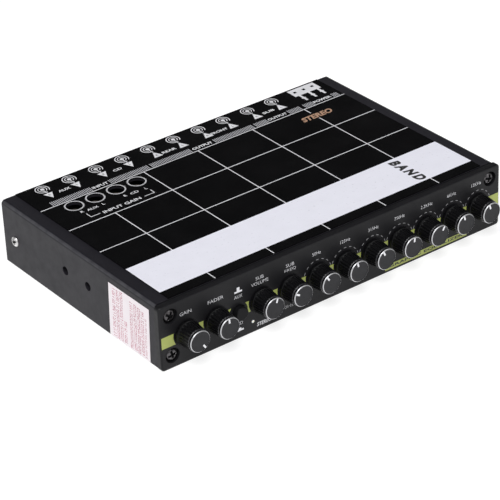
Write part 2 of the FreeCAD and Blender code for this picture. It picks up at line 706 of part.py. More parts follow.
def trimmer_rotor(x):
    """Round rotor with a cross slot, turned with a small screwdriver."""
    spindle = rod_z(x, TRIM_Y, TRIM_SPINDLE_Z, TRIM_HEAD_Z[0], TRIM_SPINDLE_R)
    head = rod_z(x, TRIM_Y, TRIM_HEAD_Z[0], TRIM_HEAD_Z[1], TRIM_HEAD_R)
    top = TRIM_HEAD_Z[1]
    arm = TRIM_SLOT_L / 2
    half = TRIM_SLOT_W / 2
    flat = block(x - arm, x + arm, TRIM_Y - half, TRIM_Y + half, top - TRIM_SLOT_D, top + OVER)
    upright = block(x - half, x + half, TRIM_Y - arm, TRIM_Y + arm, top - TRIM_SLOT_D, top + OVER)
    return cut(joined([spindle, head]), [flat, upright])


def chip(x):
    """Dual in-line amplifier chip with eight legs."""
    length, width, height = CHIP_SIZE
    leg_w, leg_out, leg_z = CHIP_LEG
    low = MAIN_BOARD_TOP + SEAT_GAP
    body = block(x - length / 2, x + length / 2, CHIP_Y - width / 2, CHIP_Y + width / 2, low, low + height)
    legs = []
    for i in range(4):
        lx = x + (i - 1.5) * LINK_PITCH
        for side in (-1, 1):
            y0, y1 = sorted((CHIP_Y + side * width / 2, CHIP_Y + side * (width / 2 + leg_out)))
            x0, x1 = lx - leg_w / 2, lx + leg_w / 2
            legs.append(block(x0, x1, y0, y1, MAIN_BOARD_TOP, MAIN_BOARD_TOP + leg_z))
    return joined([body] + legs)


def capacitor(x, y):
    """Electrolytic can with a rounded top."""
    can = rod_z(x, y, MAIN_BOARD_TOP, MAIN_BOARD_TOP + CAN_H, CAN_R)
    return can.makeFillet(CAN_ROUND, edges_where(can, lambda p: near(p.z, MAIN_BOARD_TOP + CAN_H)))


def supply_choke():
    """Wound ring that smooths the supply."""
    top = MAIN_BOARD_TOP + CHOKE_H
    ring = rod_z(CHOKE_X, CHOKE_Y, MAIN_BOARD_TOP, top, CHOKE_R)
    ring = ring.cut(rod_z(CHOKE_X, CHOKE_Y, MAIN_BOARD_TOP - OVER, top + OVER, CHOKE_HOLE_R))
    return ring.makeFillet(CHOKE_ROUND, edges_where(ring, lambda p: near(p.z, top)))


def build_case():
    """Sheet metal, panel, overlay, label and their screws."""
    save("bottom_chassis", bottom_chassis())
    save("top_cover", top_cover())
    save("top_overlay", top_overlay())
    save("front_panel", front_panel())
    save("front_panel_screws", group([panel_screw(x, z) for x, z in PANEL_SCREW_PLACES]))
    save("cover_screws", group([side_screw(side) for side in (-1, 1)]))
    save("side_label", side_label())


def build_boards():
    """Circuit boards and what is soldered on them."""
    save("main_board", main_board())
    save("board_standoffs", group([board_standoff(x, y) for x, y in BOARD_SCREW_PLACES]))
    save("board_screws", group([board_screw(x, y) for x, y in BOARD_SCREW_PLACES]))
    save("control_board", control_board())
    save("board_link", board_link())
    save("amplifier_chips", group([chip(x) for x in CHIP_XS]))
    save("capacitors", group([capacitor(x, y) for x in CAN_XS for y in CAN_YS]))
    save("supply_choke", supply_choke())


def build_controls():
    """Potentiometers, shafts, knobs, push button and indicator."""
    for name, x, angle in CONTROLS:
        save(name + "_knob", knob(x, angle))
        save(name + "_shaft", pot_shaft(x))
    for name, x, _ in LEFT_CONTROLS:
        save(name + "_pot", potentiometer(x))
    save("band_pots", group([potentiometer(x) for _, x, _ in BAND_CONTROLS]))
    save("pot_nuts", group([pot_nut(x) for _, x, _ in CONTROLS]))
    save("button_cap", button_cap())
    save("switch_plunger", switch_plunger())
    save("switch_body", switch_body())
    save("power_led", power_led())


def build_rear():
    """Phono sockets, power header and plug."""
    pair_xs = [(PHONO_XS[i] + PHONO_XS[i + 1]) / 2 for i in range(0, PHONO_COUNT, 2)]
    save("phono_housings", group([phono_housing(x) for x in pair_xs]))
    save("phono_shells", group([phono_shell(x) for x in PHONO_XS]))
    save("phono_insulators", group([phono_insulator(x) for x in PHONO_XS]))
    save("phono_contacts", group([phono_contact(x) for x in PHONO_XS]))
    save("power_header", power_header())
    save("header_pins", group([header_pin(x) for x in pole_xs()]))
    save("power_plug", power_plug())
    save("plug_screws", group([plug_screw(x) for x in pole_xs()]))


def build_trimmers():
    """Input gain trimmers under the holes in the top."""
    save("trimmer_bodies", group([trimmer_body(x) for x in TRIM_XS]))
    for i, x in enumerate(TRIM_XS):
        save("trimmer_rotor_%d" % (i + 1), trimmer_rotor(x))


os.makedirs("parts", exist_ok=True)
build_case()
build_boards()
build_controls()
build_rear()
build_trimmers()
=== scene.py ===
import json
import math
import random

import bpy
from mathutils import Matrix, Vector
from mathutils.geometry import tessellate_polygon


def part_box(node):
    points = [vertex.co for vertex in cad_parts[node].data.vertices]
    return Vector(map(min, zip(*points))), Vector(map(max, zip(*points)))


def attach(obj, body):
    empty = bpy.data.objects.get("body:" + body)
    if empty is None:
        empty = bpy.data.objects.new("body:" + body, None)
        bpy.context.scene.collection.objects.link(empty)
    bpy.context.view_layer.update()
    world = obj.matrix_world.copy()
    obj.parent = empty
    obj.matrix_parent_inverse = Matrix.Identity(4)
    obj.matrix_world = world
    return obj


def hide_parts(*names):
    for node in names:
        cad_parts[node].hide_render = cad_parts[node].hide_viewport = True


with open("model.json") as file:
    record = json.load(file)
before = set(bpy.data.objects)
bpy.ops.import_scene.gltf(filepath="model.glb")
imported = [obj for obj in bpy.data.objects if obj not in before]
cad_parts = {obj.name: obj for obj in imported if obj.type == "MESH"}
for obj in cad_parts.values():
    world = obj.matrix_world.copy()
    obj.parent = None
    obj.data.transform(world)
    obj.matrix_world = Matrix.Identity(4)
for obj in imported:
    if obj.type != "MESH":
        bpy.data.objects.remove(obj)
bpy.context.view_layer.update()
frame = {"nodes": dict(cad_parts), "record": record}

# Metres are used for places that come from the frame. Shapes drawn here are in millimetres, on a
# Plane or about a turned piece's own axis, and are brought to metres by MM.
MM = 0.001
X, Y, Z = 0, 1, 2


# ---------------------------------------------------------------- places taken from the frame
def middle(node, axis):
    """Middle of a CAD node's box along one axis, in metres."""
    low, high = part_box(node)
    return (low[axis] + high[axis]) / 2


NODES = frame["nodes"]
JOINTS = {j["name"]: j for j in frame["record"]["behaviour"]["joints"]}
TOP_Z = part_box("top_overlay")[1].z
DATUM_Z = TOP_Z - 29.1 * MM      # heights on the front are counted from here
FACE_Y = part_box("front_panel")[0].y

PHONO_COUNT = 10
phono_low, phono_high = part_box("phono_insulators")
INSULATOR_W = phono_high.z - phono_low.z
PHONO_PITCH = (phono_high.x - phono_low.x - INSULATOR_W) / (PHONO_COUNT - 1)
PHONO_FIRST_X = phono_low.x + INSULATOR_W / 2

# ---------------------------------------------------------------- printing
INK_T = 0.015 * MM       # how far a print stands above its surface
SUNK_T = 0.01 * MM       # how far its back lies below it
OVERPRINT_T = 2 * INK_T  # for a print that lies on another one


class Plane:
    """A flat surface to print on: u to the right, v up, n out of the surface, all in metres."""

    def __init__(self, origin, u, v):
        self.origin = Vector(origin)
        self.u = Vector(u)
        self.v = Vector(v)
        self.n = self.u.cross(self.v)

    def at(self, u, v, h=0.0):
        return self.origin + self.u * u + self.v * v + self.n * h


TOP = Plane((0, 0, TOP_Z), (1, 0, 0), (0, 1, 0))
TOP_TURNED = Plane((0, 0, TOP_Z), (0, -1, 0), (1, 0, 0))
FRONT = Plane((0, FACE_Y, DATUM_Z), (1, 0, 0), (0, 0, 1))


def signed_area(loop):
    """Area of a loop, positive when it runs anticlockwise."""
    return sum(ax * by - bx * ay for (ax, ay), (bx, by) in zip(loop, loop[1:] + loop[:1])) / 2


def circle(x, y, r, steps):
    """Points of a circle."""
    turns = [2 * math.pi * i / steps for i in range(steps)]
    return [(x + r * math.cos(t), y + r * math.sin(t)) for t in turns]


def square(x, y, half):
    """Corners of a square."""
    return [(x - half, y - half), (x + half, y - half), (x + half, y + half), (x - half, y + half)]


class Print:
    """Collects flat shapes and lettering, in millimetres on a plane, into one thin mesh."""

    def __init__(self, plane, height=INK_T):
        self.plane = plane
        self.height = height
        self.verts = []
        self.faces = []

    def shape(self, *loops):
        """A filled outline, with any further loops as holes in it."""
        flat = [p for loop in loops for p in loop]
        triangles = tessellate_polygon([[Vector((x, y, 0)) for x, y in loop] for loop in loops])
        base = len(self.verts)
        count = len(flat)
        for h in (-SUNK_T, self.height):
            self.verts += [self.plane.at(x * MM, y * MM, h) for x, y in flat]
        for a, b, c in triangles:
            (ax, ay), (bx, by), (cx, cy) = flat[a], flat[b], flat[c]
            if (bx - ax) * (cy - ay) - (by - ay) * (cx - ax) < 0:
                b, c = c, b
            self.faces.append((base + count + a, base + count + b, base + count + c))
            self.faces.append((base + a, base + c, base + b))
        start = base
        for k, loop in enumerate(loops):
            n = len(loop)
            faces_out = (signed_area(loop) > 0) == (k == 0)
            for i in range(n):
                p, q = start + i, start + (i + 1) % n
                side = (p, q, q + count, p + count)
                self.faces.append(side if faces_out else side[::-1])
            start += n

    def mesh(self, verts, faces):
        """Ready-made vertices and faces."""
        base = len(self.verts)
        self.verts += verts
        self.faces += [tuple(base + i for i in f) for f in faces]

    def bar(self, x0, y0, x1, y1):
        """A rectangle from its low and high corners."""
        self.shape([(x0, y0), (x1, y0), (x1, y1), (x0, y1)])

    def line(self, a, b, width):
        """A straight stroke between two points."""
        (ax, ay), (bx, by) = a, b
        length = math.hypot(bx - ax, by - ay)
        nx, ny = -(by - ay) / length * width / 2, (bx - ax) / length * width / 2
        self.shape([(ax + nx, ay + ny), (ax - nx, ay - ny), (bx - nx, by - ny), (bx + nx, by + ny)])

    def arc(self, x, y, r, width, start, end, steps):
        """A stroke along a circle, from start to end in degrees."""
        closed = end - start >= 360
        turns = [math.radians(start + (end - start) * i / steps)
                 for i in range(steps + (not closed))]
        outer, inner = ([(x + radius * math.cos(t), y + radius * math.sin(t)) for t in turns]
                        for radius in (r + width / 2, r - width / 2))
        if closed:
            self.shape(outer, inner)
        else:
            self.shape(outer + inner[::-1])

    def text(self, words, x, y, cap, width=None, bold=0.0, shear=0.0, spacing=1.0):
        """Lettering centred at x, y: capitals of one height, and a given width if it is set."""
        font = bpy.data.curves.new("lettering", "FONT")
        font.body = words
        font.offset = bold
        font.shear = shear
        font.space_character = spacing
        font.resolution_u = 3
        font.extrude = 0.5       # any depth: it only tells the front of a letter from its back
        holder = bpy.data.objects.new("lettering", font)
        mesh = bpy.data.meshes.new_from_object(holder)
        xs = [v.co.x for v in mesh.vertices]
        ys = [v.co.y for v in mesh.vertices]
        tall = cap / (max(ys) - min(ys))
        wide = width / (max(xs) - min(xs)) if width else tall
        mid_x, mid_y = (max(xs) + min(xs)) / 2, (max(ys) + min(ys)) / 2
        verts = []
        for v in mesh.vertices:
            h = self.height if v.co.z > 0 else -SUNK_T
            at_x, at_y = x + (v.co.x - mid_x) * wide, y + (v.co.y - mid_y) * tall
            verts.append(self.plane.at(at_x * MM, at_y * MM, h))
        self.mesh(verts, [tuple(p.vertices) for p in mesh.polygons])
        bpy.data.objects.remove(holder)
        bpy.data.curves.remove(font)
        bpy.data.meshes.remove(mesh)

    def words(self, rows, cap, bold):
        """Several words of one size: rows are (words, x, y, width)."""
        for words, x, y, width in rows:
            self.text(words, x, y, cap, width, bold=bold)

    def piece(self, name, material):
        """The finished print as one object on the case."""
        return add_piece(name, self.verts, self.faces, [material])


def add_piece(name, verts, faces, materials, indices=None, sharp_deg=None):
    """A mesh object on the case, smooth up to an angle, or flat if none is given."""
    mesh = bpy.data.meshes.new(name)
    mesh.from_pydata(verts, [], faces)
    for m in materials:
        mesh.materials.append(m)
    if indices:
        mesh.polygons.foreach_set("material_index", indices)
    if sharp_deg:
        mesh.shade_smooth()
        mesh.set_sharp_from_angle(angle=math.radians(sharp_deg))
    mesh.update()
    obj = bpy.data.objects.new(name, mesh)
    bpy.context.scene.collection.objects.link(obj)
    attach(obj, "case")
    return obj


# ---------------------------------------------------------------- materials
MIX_A, MIX_B, MIX_RESULT = 6, 7, 2       # the colour sockets of a Mix node


class Recipe:
    """A node material with Principled shading, built up layer by layer."""

    def __init__(self, name, color, roughness, metallic=0.0, **sockets):
        self.material = bpy.data.materials.new(name)
        self.material.use_nodes = True
        self.tree = self.material.node_tree
        self.shader = self.tree.nodes["Principled BSDF"]
        self.coords = self.add("ShaderNodeTexCoord").outputs["Object"]
        self.color = (*color, 1.0)
        self.roughness = roughness
        self.shader.inputs["Base Color"].default_value = self.color
        self.shader.inputs["Roughness"].default_value = roughness
        self.shader.inputs["Metallic"].default_value = metallic
        for socket, value in sockets.items():
            self.shader.inputs[socket.replace("_", " ")].default_value = value

    def add(self, kind, **settings):
        node = self.tree.nodes.new(kind)
        for key, value in settings.items():
            setattr(node, key, value)
        return node

    def link(self, a, b):
        self.tree.links.new(a, b)

    def axes(self, vector):
        """The X, Y and Z of a vector."""
        split = self.add("ShaderNodeSeparateXYZ")
        self.link(vector, split.inputs["Vector"])
        return split.outputs["X"], split.outputs["Y"], split.outputs["Z"]

    def noise(self, per_m, detail=3.0, stretch=None):
        """Noise with a number of features per metre, and any stretch that makes it run one way."""
        coords = self.coords
        if stretch:
            mapping = self.add("ShaderNodeMapping")
            mapping.inputs["Scale"].default_value = stretch
            self.link(coords, mapping.inputs["Vector"])
            coords = mapping.outputs["Vector"]
        node = self.add("ShaderNodeTexNoise")
        node.inputs["Scale"].default_value = per_m
        node.inputs["Detail"].default_value = detail
        node.inputs["Roughness"].default_value = 0.55
        self.link(coords, node.inputs["Vector"])
        return node.outputs["Fac"]

    def remap(self, value, low, high, to_low, to_high, smooth=False):
        node = self.add("ShaderNodeMapRange")
        if smooth:
            node.interpolation_type = "SMOOTHSTEP"
        for socket, number in (("From Min", low), ("From Max", high),
                               ("To Min", to_low), ("To Max", to_high)):
            node.inputs[socket].default_value = number
        self.link(value, node.inputs["Value"])
        return node.outputs["Result"]

    def math(self, operation, a, b=None):
        node = self.add("ShaderNodeMath", operation=operation)
        for socket, value in zip(node.inputs, (a, b)):
            if value is None:
                continue
            if isinstance(value, (int, float)):
                socket.default_value = value
            else:
                self.link(value, socket)
        return node.outputs["Value"]

    def length(self, a, b):
        """Length of the vector (a, b)."""
        squares = self.math("MULTIPLY", a, a), self.math("MULTIPLY", b, b)
        return self.math("SQRT", self.math("ADD", *squares))

    def recolor(self, mask, color):
        """Mixes another colour over what is there, by a mask."""
        node = self.add("ShaderNodeMix", data_type="RGBA")
        base = self.shader.inputs["Base Color"]
        if base.is_linked:
            self.link(base.links[0].from_socket, node.inputs[MIX_A])
        else:
            node.inputs[MIX_A].default_value = self.color
        node.inputs[MIX_B].default_value = (*color, 1.0)
        self.link(mask, node.inputs["Factor"])
        self.link(node.outputs[MIX_RESULT], base)
        return self

    def mottle(self, per_m, spread):
        """Slow variation of the colour, as a share of it."""
        mask = self.remap(self.noise(per_m), 0.3, 0.7, 0.0, 1.0)
        other = tuple(min(1.0, c * (1 + spread) + 0.002 * spread) for c in self.color[:3])
        return self.recolor(mask, other)

    def gloss(self, per_m, spread):
        """Variation of the roughness about its own value."""
        low, high = max(0.02, self.roughness - spread), min(1.0, self.roughness + spread)
        value = self.remap(self.noise(per_m), 0.3, 0.7, low, high)
        self.link(value, self.shader.inputs["Roughness"])
        return self

    def bump(self, height, depth_mm, strength):
        """Adds a relief of a depth in millimetres."""
        node = self.add("ShaderNodeBump")
        node.inputs["Strength"].default_value = strength
        node.inputs["Distance"].default_value = depth_mm * MM
        self.link(height, node.inputs["Height"])
        normal = self.shader.inputs["Normal"]
        if normal.is_linked:
            self.link(normal.links[0].from_socket, node.inputs["Normal"])
        self.link(node.outputs["Normal"], normal)
        return self

    def grain(self, per_m, depth_mm, strength, stretch=None):
        """Fine relief all over."""
        return self.bump(self.noise(per_m, stretch=stretch), depth_mm, strength)

    def edge_wear_and_highlight(self, radius_mm, color, amount):
        """Lighter colour along the edges, by edge wear and a painted highlight."""
        bevel = self.add("ShaderNodeBevel", samples=4)
        bevel.inputs["Radius"].default_value = radius_mm * MM
        geometry = self.add("ShaderNodeNewGeometry")
        dot = self.add("ShaderNodeVectorMath", operation="DOT_PRODUCT")
        self.link(bevel.outputs["Normal"], dot.inputs[0])
        self.link(geometry.outputs["True Normal"], dot.inputs[1])
        edge = self.remap(dot.outputs["Value"], 0.98, 0.8, 0.0, amount, smooth=True)
        patchy = self.remap(self.noise(900.0), 0.42, 0.62, 0.15, 1.0)
        return self.recolor(self.math("MULTIPLY", edge, patchy), color)

    def painted_fold_highlight(self, color):
        """Painted highlight on the folds of the cover, where the surface turns between the top and
        a side.
        """
        geometry = self.add("ShaderNodeNewGeometry")
        x, _, z = self.axes(geometry.outputs["Normal"])
        turned = self.math("MULTIPLY", self.math("ABSOLUTE", x), z)
        fold = self.remap(turned, 0.3, 0.46, 0.0, 0.9, smooth=True)
        patchy = self.remap(self.noise(180.0), 0.35, 0.6, 0.5, 1.0)
        return self.recolor(self.math("MULTIPLY", fold, patchy), color)


def coat_paint():
    """Satin black paint on folded steel: fine orange peel, worn edges, and painted highlights on
    edges and folds.
    """
    r = Recipe("look_steel", (0.0124, 0.0118, 0.0152), 0.4, Specular_IOR_Level=0.16)
    r.mottle(60.0, 0.25)
    r.gloss(220.0, 0.06)
    r.grain(2600.0, 0.008, 0.6)
    r.grain(240.0, 0.03, 0.25)
    # painted highlight: lighter colour where the cover folds between the top and a side
    r.painted_fold_highlight((0.06, 0.06, 0.067))
    # edges lighter by wear and a painted highlight
    return r.edge_wear_and_highlight(0.35, (0.04, 0.04, 0.045), 0.7)


def coat_overlay():
    """Glossy printed film with a faint swell and dust."""
    r = Recipe("look_overlay", (0.0014, 0.0014, 0.0017), 0.17, Specular_IOR_Level=0.25)
    r.mottle(30.0, 0.4)
    r.gloss(90.0, 0.05)
    r.grain(120.0, 0.03, 0.12)
    specks = r.remap(r.noise(2800.0, detail=1.0), 0.74, 0.8, 0.0, 0.35)
    return r.recolor(specks, (0.05, 0.05, 0.055))


def coat_panel():
    """Moulded front panel with a spark-eroded satin texture."""
    r = Recipe("look_panel", (0.0072, 0.0071, 0.0082), 0.4, Specular_IOR_Level=0.18)
    r.mottle(80.0, 0.3)
    r.gloss(400.0, 0.07)
    r.grain(3800.0, 0.01, 0.7)
    # edges lighter by wear and a painted highlight
    return r.edge_wear_and_highlight(0.2, (0.03, 0.03, 0.033), 0.6)


def coat_knob():
    """Dark satin plastic of the knob skirts, lighter on the rib tips by edge wear and a painted
    highlight.
    """
    r = Recipe("look_knob", (0.0025, 0.0025, 0.003), 0.3, Specular_IOR_Level=0.2)
    r.gloss(900.0, 0.08)
    r.grain(5200.0, 0.006, 0.5)
    # edges lighter by wear and a painted highlight
    return r.edge_wear_and_highlight(0.12, (0.022, 0.022, 0.025), 0.6)


def coat_cap():
    """Spun face of the knob cap: dark metal-look paint with turning marks about its axis."""
    r = Recipe("look_knob_cap", (0.0115, 0.0115, 0.0135), 0.4, metallic=0.1,
               Specular_IOR_Level=0.26)
    r.mottle(500.0, 0.3)
    r.gloss(700.0, 0.08)
    x, _, z = r.axes(r.coords)
    marks_per_m = 4200.0
    wave = r.math("SINE", r.math("MULTIPLY", r.length(x, z), marks_per_m * 2 * math.pi))
    r.bump(wave, 0.004, 0.5)
    return r.grain(3000.0, 0.004, 0.4)


def painted_shoulder_highlight():
    """Glossy shoulder at the end of the knob's skirt, painted lighter than the skirt as a
    highlight.
    """
    r = Recipe("look_knob_shoulder_painted_highlight", (0.02, 0.02, 0.023), 0.28, Specular_IOR_Level=0.45)
    r.gloss(1400.0, 0.06)
    r.mottle(500.0, 0.3)
    return r.grain(4000.0, 0.003, 0.4)


def coat_ring():
    """Diamond-cut bright edge round the knob cap."""
    r = Recipe("look_knob_ring", (0.56, 0.56, 0.58), 0.4, metallic=0.6)
    r.gloss(1500.0, 0.07)
    r.grain(4000.0, 0.003, 0.4)
    return r.mottle(400.0, -0.15)


def coat_ink(name, color, roughness=0.5, patch=0.12, metallic=0.0):
    """Screen-printed ink, slightly uneven in density and sheen."""
    r = Recipe(name, color, roughness, metallic)
    r.mottle(140.0, -patch)
    r.gloss(800.0, 0.08)
    return r.grain(3500.0, 0.004, 0.4)


def coat_metal(name, color, roughness, tarnish=None):
    """Plated metal with fine handling marks."""
    r = Recipe(name, color, roughness, metallic=1.0)
    r.mottle(350.0, -0.18)
    r.gloss(1200.0, 0.08)
    r.grain(1800.0, 0.004, 0.5, stretch=(1.0, 0.15, 1.0))
    if tarnish:
        r.recolor(r.remap(r.noise(260.0), 0.55, 0.75, 0.0, 0.6), tarnish)
    return r


def coat_plastic(name, color, roughness, **sockets):
    """Moulded plastic with a fine texture: dark ones mottle lighter, pale ones darker."""
    r = Recipe(name, color, roughness, **sockets)
    r.mottle(200.0, 0.25 if max(color) < 0.3 else -0.08)
    r.gloss(700.0, 0.07)
    return r.grain(3200.0, 0.008, 0.6)


def coat_insulator():
    """Coloured socket inserts, red and white in turn along the row."""
    r = coat_plastic("look_insulator", (0.74, 0.73, 0.7), 0.35)
    x, _, _ = r.axes(r.coords)
    start = PHONO_FIRST_X - PHONO_PITCH / 2
    place = r.math("DIVIDE", r.math("SUBTRACT", x, start), PHONO_PITCH)
    odd = r.math("MODULO", r.math("FLOOR", place), 2.0)
    return r.recolor(odd, (0.42, 0.012, 0.01))


def coat_board():
    """Green solder mask over copper tracks."""
    r = Recipe("look_board", (0.006, 0.055, 0.018), 0.3)
    r.mottle(150.0, 0.4)
    runs = r.noise(420.0, detail=0.0, stretch=(1.0, 0.2, 1.0))
    tracks = r.remap(runs, 0.52, 0.56, 0.0, 0.55)
    r.recolor(tracks, (0.012, 0.11, 0.03))
    r.bump(tracks, 0.03, 0.5)
    return r.gloss(300.0, 0.06)


def coat_winding():
    """Lacquered copper wire wound round the choke."""
    r = Recipe("look_winding", (0.42, 0.13, 0.04), 0.3, metallic=0.9)
    wave = r.add("ShaderNodeTexWave", wave_type="BANDS", bands_direction="DIAGONAL")
    wave.inputs["Scale"].default_value = 700.0
    r.link(r.coords, wave.inputs["Vector"])
    r.bump(wave.outputs["Fac"], 0.2, 0.8)
    return r.mottle(200.0, -0.3)


def coat_paper():
    """Sticker stock, a little warm and fibrous."""
    r = Recipe("look_sticker", (0.8, 0.745, 0.775), 0.6)
    r.mottle(120.0, -0.06)
    r.gloss(300.0, 0.08)
    return r.grain(2400.0, 0.006, 0.5)


def coat_lens():
    """Milky lens of the indicator, darker outside a small disc at its middle."""
    r = Recipe("look_lens", (0.78, 0.78, 0.76), 0.22, Subsurface_Weight=0.2,
               Subsurface_Scale=0.0005)
    x, _, z = r.axes(r.coords)
    from_x = r.math("SUBTRACT", x, middle("power_led", X))
    from_z = r.math("SUBTRACT", z, middle("power_led", Z))
    rim = r.remap(r.length(from_x, from_z), 0.5 * MM, 0.75 * MM, 0.0, 1.0, smooth=True)
    r.recolor(rim, (0.03, 0.03, 0.03))
    r.gloss(900.0, 0.05)
    return r.grain(1500.0, 0.003, 0.3)


# What each material slot of the record looks like.
LOOKS = {
    "black_steel": coat_paint(),
    "gloss_overlay": coat_overlay(),
    "panel_plastic": coat_panel(),
    "knob_plastic": coat_knob(),
    "label_paper": coat_paper(),
    "circuit_board": coat_board(),
    "copper_winding": coat_winding(),
    "white_plastic": coat_insulator(),
    "led_lens": coat_lens(),
    "black_screw": coat_metal("look_black_screw", (0.125, 0.12, 0.125), 0.3,
                              tarnish=(0.045, 0.04, 0.04)),
    "nickel_screw": coat_metal("look_nickel_screw", (0.72, 0.71, 0.71), 0.38),
    "brass": coat_metal("look_brass", (0.74, 0.55, 0.25), 0.28, tarnish=(0.4, 0.26, 0.1)),
    "nickel_shell": coat_metal("look_shell", (0.7, 0.69, 0.66), 0.22, tarnish=(0.5, 0.47, 0.42)),
    "capacitor_can": coat_metal("look_can", (0.3, 0.31, 0.33), 0.35),
    "shaft_metal": coat_metal("look_shaft", (0.62, 0.62, 0.62), 0.3),
    "black_insulator": coat_plastic("look_insulator_black", (0.012, 0.012, 0.013), 0.45),
    "pot_body": coat_plastic("look_pot", (0.02, 0.03, 0.06), 0.45),
    "button_plastic": coat_plastic("look_button", (0.004, 0.004, 0.0048), 0.42,
                                   Specular_IOR_Level=0.12),
    "plug_plastic": coat_plastic("look_plug", (0.01, 0.01, 0.011), 0.38),
    "trimmer_plastic": coat_plastic("look_trimmer", (0.05, 0.042, 0.035), 0.5),
}
for node in NODES.values():
    for held in node.material_slots:
        held.material = LOOKS[held.material.name].material

INK_WHITE = coat_ink("ink_white", (0.74, 0.74, 0.77)).material
INK_SOFT = coat_ink("ink_soft_white", (0.28, 0.28, 0.29)).material
INK_BAND = coat_ink("ink_band", (0.79, 0.79, 0.87), 0.34, patch=0.03).material
INK_BLACK = coat_ink("ink_black", (0.01, 0.01, 0.011)).material
INK_GREY = coat_ink("ink_grey", (0.5, 0.5, 0.53)).material
INK_GREEN = coat_ink("ink_green", (0.34, 0.385, 0.095)).material
INK_COPPER = coat_ink("ink_copper", (0.7, 0.43, 0.29), 0.34, metallic=0.4).material
INK_PINK = coat_ink("ink_pink", (0.54, 0.21, 0.28), patch=0.25).material

# ---------------------------------------------------------------- printing on the top
RULE_HALF = 0.225            # half the width of a rule
EDGE_X = 82.0                # how far the rules and the band reach to each side
ROWS_Y = (37.4, 16.1, -6.5)
BAND_Y = (-48.0, -24.5)
COLUMNS = ((-59.0, 16.1), (-29.5, 37.4), (-0.5, 37.4), (29.4, 37.4), (58.7, 37.4))  # x, top end
TICK_END_Y = -53.55
COPPER_GAP_Y = (26.6, 32.6)  # the last column is broken here for the copper word

HATCH_X = (-75.0, 80.0)
HATCH_Y = (38.0, 41.5)
HATCH_PITCH = 0.9
HATCH_HALF = 0.19
HATCH_GAPS = ((-54.8, -45.8), (-25.2, -23.8), (-2.4, 9.8), (31.2, 32.5), (39.6, 51.2),
              (58.9, 60.1), (65.7, 76.6))
HATCH_WORDS = (("INPUT", -50.3, 39.9, 7.9), ("OUTPUT", 3.7, 39.9, 10.6),
               ("OUTPUT", 45.4, 39.9, 10.4), ("POWER", 71.1, 39.9, 9.8))

PHONO_X = [(PHONO_FIRST_X + i * PHONO_PITCH) / MM for i in range(PHONO_COUNT)]
INPUT_COUNT = 4              # the first sockets are inputs, the others outputs
SYMBOL_Y = 53.2
SYMBOL_RINGS = ((3.05, 0.42, -42.0, 285.0, 48),      # radius, width, start, end, steps
                (1.9, 0.36, -60.0, 262.0, 38))
SYMBOL_DOT_R = 0.95
STEM_HALF = 0.2
STEM_Y = (48.6, 52.6)
ARROW_IN = ((0.0, 44.2), (2.2, 48.9), (-2.2, 48.9))
ARROW_OUT = ((-2.3, 44.4), (2.3, 44.4), (0.0, 49.5))
ARROW_LETTER_Y = (47.2, 46.0)                        # in an arrow in, in an arrow out
ARROW_LETTER_CAP = 1.3
SOCKET_WORDS = (("AUX", -63.9, 47.0, 6.0), ("CD", -36.7, 46.7, 4.4), ("REAR", -9.8, 46.0, 7.2),
                ("FRONT", 17.5, 46.0, 9.0), ("SUB", 45.5, 46.5, 6.3))

BLOCK = (63.6, 49.6, 78.4, 56.3)                     # low and high corner of the power symbol
BLOCK_HOLES_X = (66.0, 71.0, 75.9)
BLOCK_HOLE_Y = 53.3
BLOCK_HOLE_HALF = 0.75
PRONGS_X = (65.9, 71.1, 76.3)
PRONG_FOOT_Y = 43.8
PRONG_HALF = 0.6
CROSS_HALF = 1.0
CROSS_Y = (46.0, 47.0)

TRIM_X = [middle("trimmer_rotor_%d" % i, X) / MM for i in (1, 2, 3, 4)]
TRIM_Y = middle("trimmer_rotor_1", Y) / MM
TRIM_RING_R = 3.8
TRIM_RING_W = 0.22
TRIM_TICKS = 60
TRIM_TICK_R = (3.9, 4.35)
TRIM_TICK_W = 0.2
TRIM_WORDS = (("R", -68.9, 26.0, None), ("AUX", -63.9, 25.5, 5.6), ("L", -58.4, 25.7, None),
              ("R", -47.4, 25.4, None), ("CD", -42.9, 25.1, 4.0), ("L", -37.2, 24.9, None))
BRACKET_BARS = ((-68.7, 19.7, -68.35, 23.4), (-68.35, 19.7, -63.9, 20.05),
                (-41.6, 19.3, -36.3, 19.65), (-36.65, 19.65, -36.3, 22.6))


def print_grid(ink):
    """White rules: three across, five down that stop at each rule, and short ticks in front."""
    for y in ROWS_Y:
        ink.bar(-EDGE_X, y - RULE_HALF, EDGE_X, y + RULE_HALF)
    stops = list(ROWS_Y) + [BAND_Y[1] + RULE_HALF]
    for x, top in COLUMNS:
        below = [y for y in stops if y <= top]
        for high, low in zip(below, below[1:]):
            pieces = [(low + RULE_HALF, high - RULE_HALF)]
            if x == COLUMNS[-1][0] and high == ROWS_Y[0]:
                pieces = [(low + RULE_HALF, COPPER_GAP_Y[0]), (COPPER_GAP_Y[1], high - RULE_HALF)]
            if low == stops[-1]:
                pieces = [(BAND_Y[1], high - RULE_HALF)]
            for y0, y1 in pieces:
                ink.bar(x - RULE_HALF, y0, x + RULE_HALF, y1)
        ink.bar(x - RULE_HALF, TICK_END_Y, x + RULE_HALF, BAND_Y[0])


def print_hatch(ink):
    """Fine upright bars along the strip behind the first rule, with gaps for the words."""
    x = HATCH_X[0]
    while x < HATCH_X[1]:
        if not any(a <= x <= b for a, b in HATCH_GAPS):
            ink.bar(x - HATCH_HALF, HATCH_Y[0], x + HATCH_HALF, HATCH_Y[1])
        x += HATCH_PITCH


